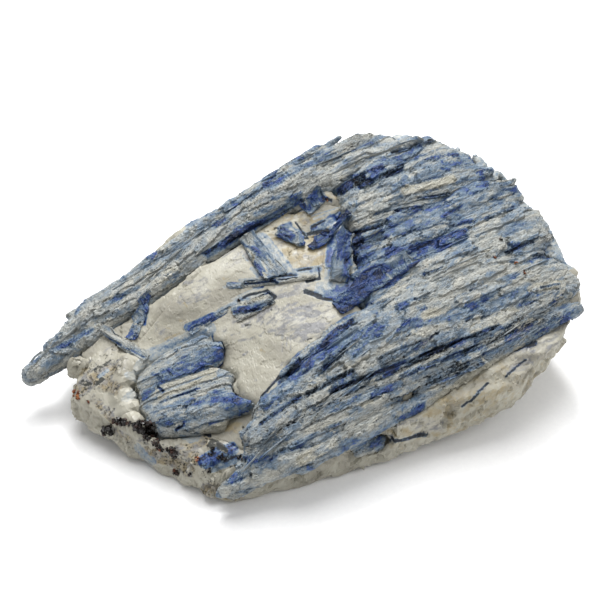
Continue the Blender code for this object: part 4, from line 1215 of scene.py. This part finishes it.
def smoothed(rows, width):
    """Moving average along a list of points, with its ends kept."""
    padded = np.concatenate([rows[:1]] * (width // 2) + [rows] + [rows[-1:]] * (width // 2))
    kernel = np.ones(width) / width
    return np.stack([np.convolve(padded[:, axis], kernel, mode="valid") for axis in range(3)], axis=1)


def laid_spine(start, end, lift, dice):
    """Points of a fibre laid on the skin from start to end, mm, and the way the skin faces there."""
    count = max(3, int((end - start).length / FIBRE_STEP) + 1)
    found = [skin.under(start.lerp(end, index / (count - 1))) for index in range(count)]
    found = [pair for pair in found if pair is not None]
    if len(found) < 3:
        return None
    facing = smoothed(np.array([facing for _, facing in found]), 5)
    facing /= np.linalg.norm(facing, axis=1)[:, None]
    spine = smoothed(np.array([place for place, _ in found]), 3)
    lifts = np.linspace(lift[0], lift[1], len(spine))
    lifts -= END_DIP * np.interp(np.linspace(0, 1, len(spine)), FULL_HEIGHT, (1.0, 0.0, 0.0, 1.0))
    lifts += FIBRE_WOBBLE * np.random.default_rng(dice.randrange(1 << 30)).standard_normal(len(spine))
    return spine + facing * lifts[:, None], facing


def ring_faces(stations, corners):
    """Faces round a tube of rings, and a fan over each end. Each end has one middle point."""
    sides = [(corner, (corner + 1) % corners) for corner in range(corners)]
    last = (stations - 1) * corners
    tail, head = stations * corners, stations * corners + 1
    faces = [
        (base + here, base + after, base + corners + after, base + corners + here)
        for base in range(0, last, corners)
        for here, after in sides
    ]
    for here, after in sides:
        faces += [(tail, after, here), (head, last + here, last + after)]
    return faces


def fibre(dice, laid, width, thickness, section, pointed, slant):
    """One fibre along a laid spine: its points, mm, its faces and the streaks that run along it.

    pointed is the share of the width left at each end, and slant shifts one side of each end along it.
    """
    spine, facing = laid
    section = np.array(section)
    stations, corners = len(spine), len(section)
    along = np.gradient(spine, axis=0)
    along /= np.linalg.norm(along, axis=1)[:, None]
    aside = np.cross(facing, along)
    aside /= np.linalg.norm(aside, axis=1)[:, None] + 1e-9
    up = np.cross(along, aside)
    length = np.concatenate([[0.0], np.cumsum(np.linalg.norm(np.diff(spine, axis=0), axis=1))])
    share = length / max(length[-1], 1e-6)
    chance = np.random.default_rng(dice.randrange(1 << 30))
    swell = np.interp(share, FULL_WIDTH, (pointed[0], 1.0, 1.0, pointed[1]))
    swell *= 1.0 + FIBRE_SWELL * chance.standard_normal(stations)
    sideways = section[None, :, 0] * width * swell[:, None]
    upwards = section[None, :, 1] * thickness
    upwards = upwards + FIBRE_RELIEF * chance.standard_normal((stations, corners)) * (section[:, 1] > -0.9)
    ends = np.zeros(stations)
    ends[0], ends[-1] = slant
    push = sideways * ends[:, None]
    points = (
        spine[:, None, :]
        + aside[:, None, :] * sideways[:, :, None]
        + up[:, None, :] * upwards[:, :, None]
        + along[:, None, :] * push[:, :, None]
    )
    tips = np.array([points[0].mean(axis=0), points[-1].mean(axis=0)])
    seed = dice.uniform(0, 500)
    streaks = np.empty((stations, corners, 3))
    streaks[:, :, 0] = length[:, None] + seed
    streaks[:, :, 1] = sideways + upwards
    streaks[:, :, 2] = seed
    tip_streaks = np.array([[seed, 0.0, seed], [seed + length[-1], 0.0, seed]])
    streaks = np.concatenate([streaks.reshape(-1, 3), tip_streaks])
    return np.concatenate([points.reshape(-1, 3), tips]), ring_faces(stations, corners), streaks


def build_fibres():
    """Fine loose fibres scattered over the top of the kyanite."""
    dice = random.Random(SEED)
    pile, streaks, tints = Pile(), [], []
    left, right, near, far = FIBRE_FIELD
    for _ in range(FIBRES):
        middle = Vector((dice.uniform(left, right), dice.uniform(near, far), 0.0))
        length = dice.uniform(*FIBRE_LENGTHS)
        reach = Vector((length / 2, (slope_at(middle) / 2 + dice.gauss(0.0, FIBRE_TURN)) * length, 0.0))
        if {skin.node_under(middle + share * reach) for share in (-1, 0, 1)} != {"kyanite_blades"}:
            continue
        lift = dice.uniform(*FIBRE_LIFTS)
        laid = laid_spine(middle - reach, middle + reach, (lift, lift + dice.gauss(0, FIBRE_LEAN)), dice)
        if laid is None:
            continue
        width, thickness = dice.uniform(*FIBRE_WIDTHS), dice.uniform(*FIBRE_THICKNESSES)
        blue = FIBRE_TINT[0] + dice.gauss(0.0, FIBRE_BLUES)
        cream = FIBRE_TINT[1] + dice.uniform(*FIBRE_CREAMS)
        dark = FIBRE_TINT[2] + dice.uniform(*FIBRE_DARKS)
        section = dice.choice(THIN_SECTIONS)
        pointed = (dice.uniform(*FIBRE_POINTS), dice.uniform(*FIBRE_POINTS))
        slant = (dice.uniform(*FIBRE_SLANTS), dice.uniform(*FIBRE_SLANTS))
        points, faces, along = fibre(dice, laid, width, thickness, section, pointed, slant)
        pile.add(points, faces)
        streaks.append(along)
        tints.append(np.tile((blue, cream, dark), (len(points), 1)))
    mesh = pile.mesh("top_fibres")
    tints = painted(np.concatenate(pile.points), np.concatenate(tints), KYANITE_PAINT)
    dress(mesh, KYANITE, tints, np.concatenate(streaks))
    finished("top_fibres", mesh, "kyanite", "kyanite_blades")


# ---------------------------------------------------------------- quartz

QUARTZ = quartz_material()
QUARTZ_TINT = (0.05, 0.1, 0.03, 0.0)
# The blue-grey rim of the rock: its tint, and the height and the x from which it shows and how far it fades
# in, mm.
RIM_TINT = (0.42, 0.1, 0.25, 0.85)
RIM_HEIGHT = (23.0, 4.0)
RIM_SIDE = (25.0, 8.0)

# Sizes of the facets that quartz breaks in, mm, how far they tilt, how far they stand apart, mm, and the
# share of their height that is kept on the flat top.
QUARTZ_STEPS = ((12.0, 0.08, 0.06, 0.4), (4.5, 0.12, 0.04, 0.3), (1.6, 0.12, 0.02, 0.3))
WINDOW_STEPS = ((9.0, 0.008, 0.004, 1.0), (3.0, 0.02, 0.002, 1.0), (1.2, 0.03, 0.001, 1.0))
CORNER_STEPS = ((2.5, 0.15, 0.12, 1.0), (1.0, 0.10, 0.04, 1.0))

QUARTZ_VOXEL = 0.6
QUARTZ_SMOOTHING = 12
QUARTZ_FOOT = (0.4, 1.5)  # the height from which the rock is rough, and over which that grows, mm
TOP_HEIGHT = (6.0, 3.0)  # the height from which the rock counts as its top, and over which that grows, mm
TOP_FACING = (0.5, 0.35)  # the same for how far it faces up
WINDOW_RISE = 0.7  # how far the quartz swells round the blades that lie in it, mm
WINDOW_VOXEL = 0.38
WINDOW_SMOOTHING = 24
WINDOW_SINK = 0.9  # how far the rock lies under the finer sheet in the windows, mm
SINK_EDGE = (1.0, 2.0)  # how far inside the windows it starts to sink, and over how far, mm
SHEET_DIP = 1.6  # how deep the sheet's edge dips under the rock round it, mm
SHEET_EDGE = (0.0, 2.5)  # how far inside the windows that starts, and over how far it ends, mm
SIDE_DIP = 0.6  # how deep it dips where the rock isn't flat, mm
DARK_DIP = 0.12  # how deep its dark marks are, mm
SHEET_THICKNESS = 1.0
# Corners of the region of the windows, as pixels of the photograph.
WINDOW_CORNERS = (
    (118, 350), (236, 218), (300, 190), (352, 190), (392, 300), (262, 450), (208, 446), (126, 392),
)
# Where the rock rises to the left end of the block, in the photograph, how high, and how far round, mm.
BANK = ((132, 362), (126, 382), (127, 400), (139, 424))
BANK_SPOTS = 8  # on each stretch of that line
BANK_RISE = 1.8
BANK_REACH = 5.0


def in_windows(places):
    """How far each place, mm, lies inside the region of the windows, seen from above."""
    corners = [skin.through_photo(*corner) for corner in WINDOW_CORNERS]
    inside = np.full(len(places), FAR)
    for corner, following in zip(corners, corners[1:] + corners[:1]):
        side = (following - corner).xy.normalized()
        offset = places[:, :2] - np.array(corner.xy)
        inside = np.minimum(inside, offset[:, 0] * side.y - offset[:, 1] * side.x)
    return inside


def flatness(places, facings):
    """1 on the flat top of the rock, and 0 on its sides and at its foot."""
    return rising(facings[:, 2], *TOP_FACING) * rising(places[:, 2], *TOP_HEIGHT)


def quartz_tints(places):
    """The tints of the quartz: blue-grey at the high rim of the rock, and marked as in the photograph."""
    rim = rising(places[:, 2], *RIM_HEIGHT) * rising(places[:, 0], *RIM_SIDE)
    return painted(places, np.outer(1.0 - rim, QUARTZ_TINT) + np.outer(rim, RIM_TINT), QUARTZ_PAINT)


def break_up(heights, places, dice, steps, cell_area, flat=0.0):
    """Adds the facets of broken quartz to heights, mm."""
    for size, slope, step, kept in steps:
        facets = cleaved(places, dice, ALONG_X, (size, size), slope, step, cell_area)
        heights += facets.heights * (1.0 - (1.0 - kept) * flat)


def build_quartz():
    """The body of the rock, which lies a little deeper where the finer sheet covers it."""
    mesh = remeshed("milky_quartz", ["quartz_matrix"], QUARTZ_VOXEL, QUARTZ_SMOOTHING)
    places, facings = vertex_rows(mesh)
    flat = flatness(places, facings)
    heights = WINDOW_RISE * flat - WINDOW_SINK * flat * rising(in_windows(places), *SINK_EDGE)
    bank = [skin.through_photo(*corner) for corner in BANK]
    steps = [step / BANK_SPOTS for step in range(BANK_SPOTS)]
    spots = [first.lerp(last, step) for first, last in zip(bank, bank[1:]) for step in steps]
    heights += BANK_RISE * nearness(places, spots, BANK_REACH)
    break_up(heights, places, random.Random(SEED + 5), QUARTZ_STEPS, QUARTZ_VOXEL**2, flat)
    heights *= rising(places[:, 2], *QUARTZ_FOOT)
    set_places(mesh, places + facings * heights[:, None])
    dress(mesh, QUARTZ, quartz_tints(places))
    finished("milky_quartz", mesh, "quartz", "quartz_matrix")


def build_window_sheet():
    """The quartz of the windows as a finer closed sheet, with the marks of the blades that lie in it."""
    mesh = calmed("window_sheet", ["quartz_matrix"], WINDOW_VOXEL, WINDOW_SMOOTHING)
    places, facings = vertex_rows(mesh)
    without(mesh, (in_windows(places) < 0.0) | (facings[:, 2] < 0.1) | (places[:, 2] < TOP_HEIGHT[0]))
    places, facings = vertex_rows(mesh)
    flat = flatness(places, facings)
    heights = WINDOW_RISE * flat - SHEET_DIP * (1.0 - rising(in_windows(places), *SHEET_EDGE))
    heights -= SIDE_DIP * (1.0 - flat)
    break_up(heights, places, random.Random(SEED + 6), WINDOW_STEPS, WINDOW_VOXEL**2)
    tints = quartz_tints(places)
    heights -= DARK_DIP * np.clip(tints[:, 2], 0.0, 1.0)
    set_places(mesh, places + facings * heights[:, None])
    dress(mesh, QUARTZ, tints)
    sheet = link(bpy.data.objects.new("window_sheet_source", mesh))
    solid = sheet.modifiers.new("thick", "SOLIDIFY")
    solid.thickness = SHEET_THICKNESS * MM
    solid.offset = -1.0
    finished("window_quartz", evaluated(sheet, "window_quartz"), "quartz", "quartz_matrix")


CORNER_PIXEL = (88, 366)  # the corner of the rock that the lump lies beside, in the photograph
CORNER_SHIFT = (-2.4, -0.4, 0.0)  # from there to the lump's middle, to the right and up in the photograph, mm
CORNER_HALVES = (3.2, 2.4, 3.0)  # half its sizes, mm
CORNER_CELL = 0.02  # the surface that one point of it stands for, mm2


def build_corner_rock():
    """The lump of quartz in the corner between the rock and the left tip of the blades."""
    mesh = bpy.data.meshes.new("corner_rock")
    middle = skin.through_photo(*CORNER_PIXEL) + CAMERA_TURN @ Vector(CORNER_SHIFT)
    with building(mesh) as builder:
        bmesh.ops.create_icosphere(builder, subdivisions=5, radius=1.0)
        for vert in builder.verts:
            vert.co = (middle + Vector([half * share for half, share in zip(CORNER_HALVES, vert.co)])) * MM
    places, facings = vertex_rows(mesh)
    heights = np.zeros(len(places))
    break_up(heights, places, random.Random(SEED + 7), CORNER_STEPS, CORNER_CELL)
    set_places(mesh, places + facings * heights[:, None])
    dress(mesh, QUARTZ, quartz_tints(places))
    finished("corner_rock", mesh, "quartz", "quartz_matrix")


# ---------------------------------------------------------------- grains

# Heaps of grains: the x and y pixel of the photograph that each lies round, its width in pixels, and how
# many grains it has.
MICA_CLUSTERS = (
    (108, 430, 9, 26), (104, 429, 5, 8), (117, 421, 7, 16), (123, 422, 8, 18), (130, 423, 5, 8),
    (138, 427, 9, 26), (145, 428, 13, 46), (152, 427, 9, 26), (148, 436, 8, 20), (154, 435, 7, 16),
    (156, 442, 6, 14), (158, 447, 5, 10), (162, 450, 4, 6), (168, 450, 4, 6), (174, 451, 7, 22),
    (174, 456, 4, 8),
)
MICA_CHAIN = (
    (210, 452, 7, 6), (222, 456, 8, 7), (176, 472, 5, 5), (190, 474, 3, 2), (208, 470, 4, 3),
    (240, 458, 5, 4), (356, 182, 5, 3), (500, 238, 3, 2), (240, 300, 3, 2),
)
RUST_CLUSTERS = (
    (76, 393, 6, 8), (78, 397, 4, 4), (89, 402, 3, 4), (159, 450, 3, 3), (174, 455, 2, 2), (175, 470, 3, 3),
    (197, 459, 3, 3), (495, 257, 3, 2), (515, 262, 3, 2), (525, 272, 3, 2), (327, 200, 2, 2),
)
GROUNDS = ("milky_quartz", "window_quartz", "far_bed", "near_bed", "block_bed")  # what the grains lie on
GRAIN_CORNERS = 9
GRAIN_RADII = (0.4, 0.9)  # in a heap that is 10 pixels wide
GRAIN_GROWTH = (0.6, 0.04)  # the share of those in a very narrow heap, and how much it grows for each pixel
GRAIN_ROUNDNESS = (0.7, 1.1)  # how far a grain's corners lie from its middle, as shares of its radius
GRAIN_LIFT = 0.2  # how far a grain's middle is over the ground, towards the camera, mm


def grain_solid(dice, place, radius):
    """The corners and faces of one broken grain, mm: the hull of a few points round its middle."""
    builder = bmesh.new()
    for _ in range(GRAIN_CORNERS):
        way = Vector([dice.gauss(0, 1) for _ in range(3)]).normalized()
        builder.verts.new(place + way * radius * dice.uniform(*GRAIN_ROUNDNESS))
    bmesh.ops.convex_hull(builder, input=builder.verts)
    bmesh.ops.delete(builder, geom=[vert for vert in builder.verts if not vert.link_faces], context="VERTS")
    builder.verts.index_update()
    points = np.array([vert.co[:] for vert in builder.verts])
    faces = [[vert.index for vert in face.verts] for face in builder.faces]
    builder.free()
    return points, faces


def seen_at(grounds, x, y):
    """The place, mm, on the nearest of some surfaces that the photograph shows at a pixel."""
    hits = [ground.ray_cast(CAMERA_PLACE, camera_ray(x, y)) for ground in grounds]
    hits = [(distance, place) for place, _, _, distance in hits if place is not None]
    return min(hits, key=lambda hit: hit[0])[1] / MM if hits else None


def build_grains():
    """The dark mica and the rusty grains, in heaps of small broken crystals on the finished surface."""
    graph = bpy.context.evaluated_depsgraph_get()
    grounds = [BVHTree.FromObject(bpy.data.objects[name], graph) for name in GROUNDS]
    mica = mica_material()
    for node, clusters, material, slot in (
        ("biotite_cluster", MICA_CLUSTERS, mica, "biotite"),
        ("biotite_chain", MICA_CHAIN, mica, "biotite"),
        ("rusty_grains", RUST_CLUSTERS, rust_material(), "iron_oxide"),
    ):
        dice = random.Random(node)
        pile = Pile()
        for x, y, width, grains in clusters:
            reach = width / 2
            growth = GRAIN_GROWTH[0] + GRAIN_GROWTH[1] * width
            for _ in range(grains):
                place = seen_at(grounds, x + dice.uniform(-reach, reach), y + dice.uniform(-reach, reach))
                if place is not None:
                    radius = dice.uniform(*GRAIN_RADII) * growth
                    pile.add(*grain_solid(dice, place + TO_CAMERA * GRAIN_LIFT, radius))
        mesh = pile.mesh(node + "_grains")
        mesh.materials.append(material)
        finished(node + "_grains", mesh, slot, node)


# ---------------------------------------------------------------- the whole model

add_camera()
add_studio()
add_floor()
build_fibres()
bed_dice = random.Random(SEED + 1)  # the block goes on where the bed stops
build_bed(bed_dice)
build_block(bed_dice)
build_single_blades()
build_quartz()
build_window_sheet()
build_corner_rock()
build_grains()
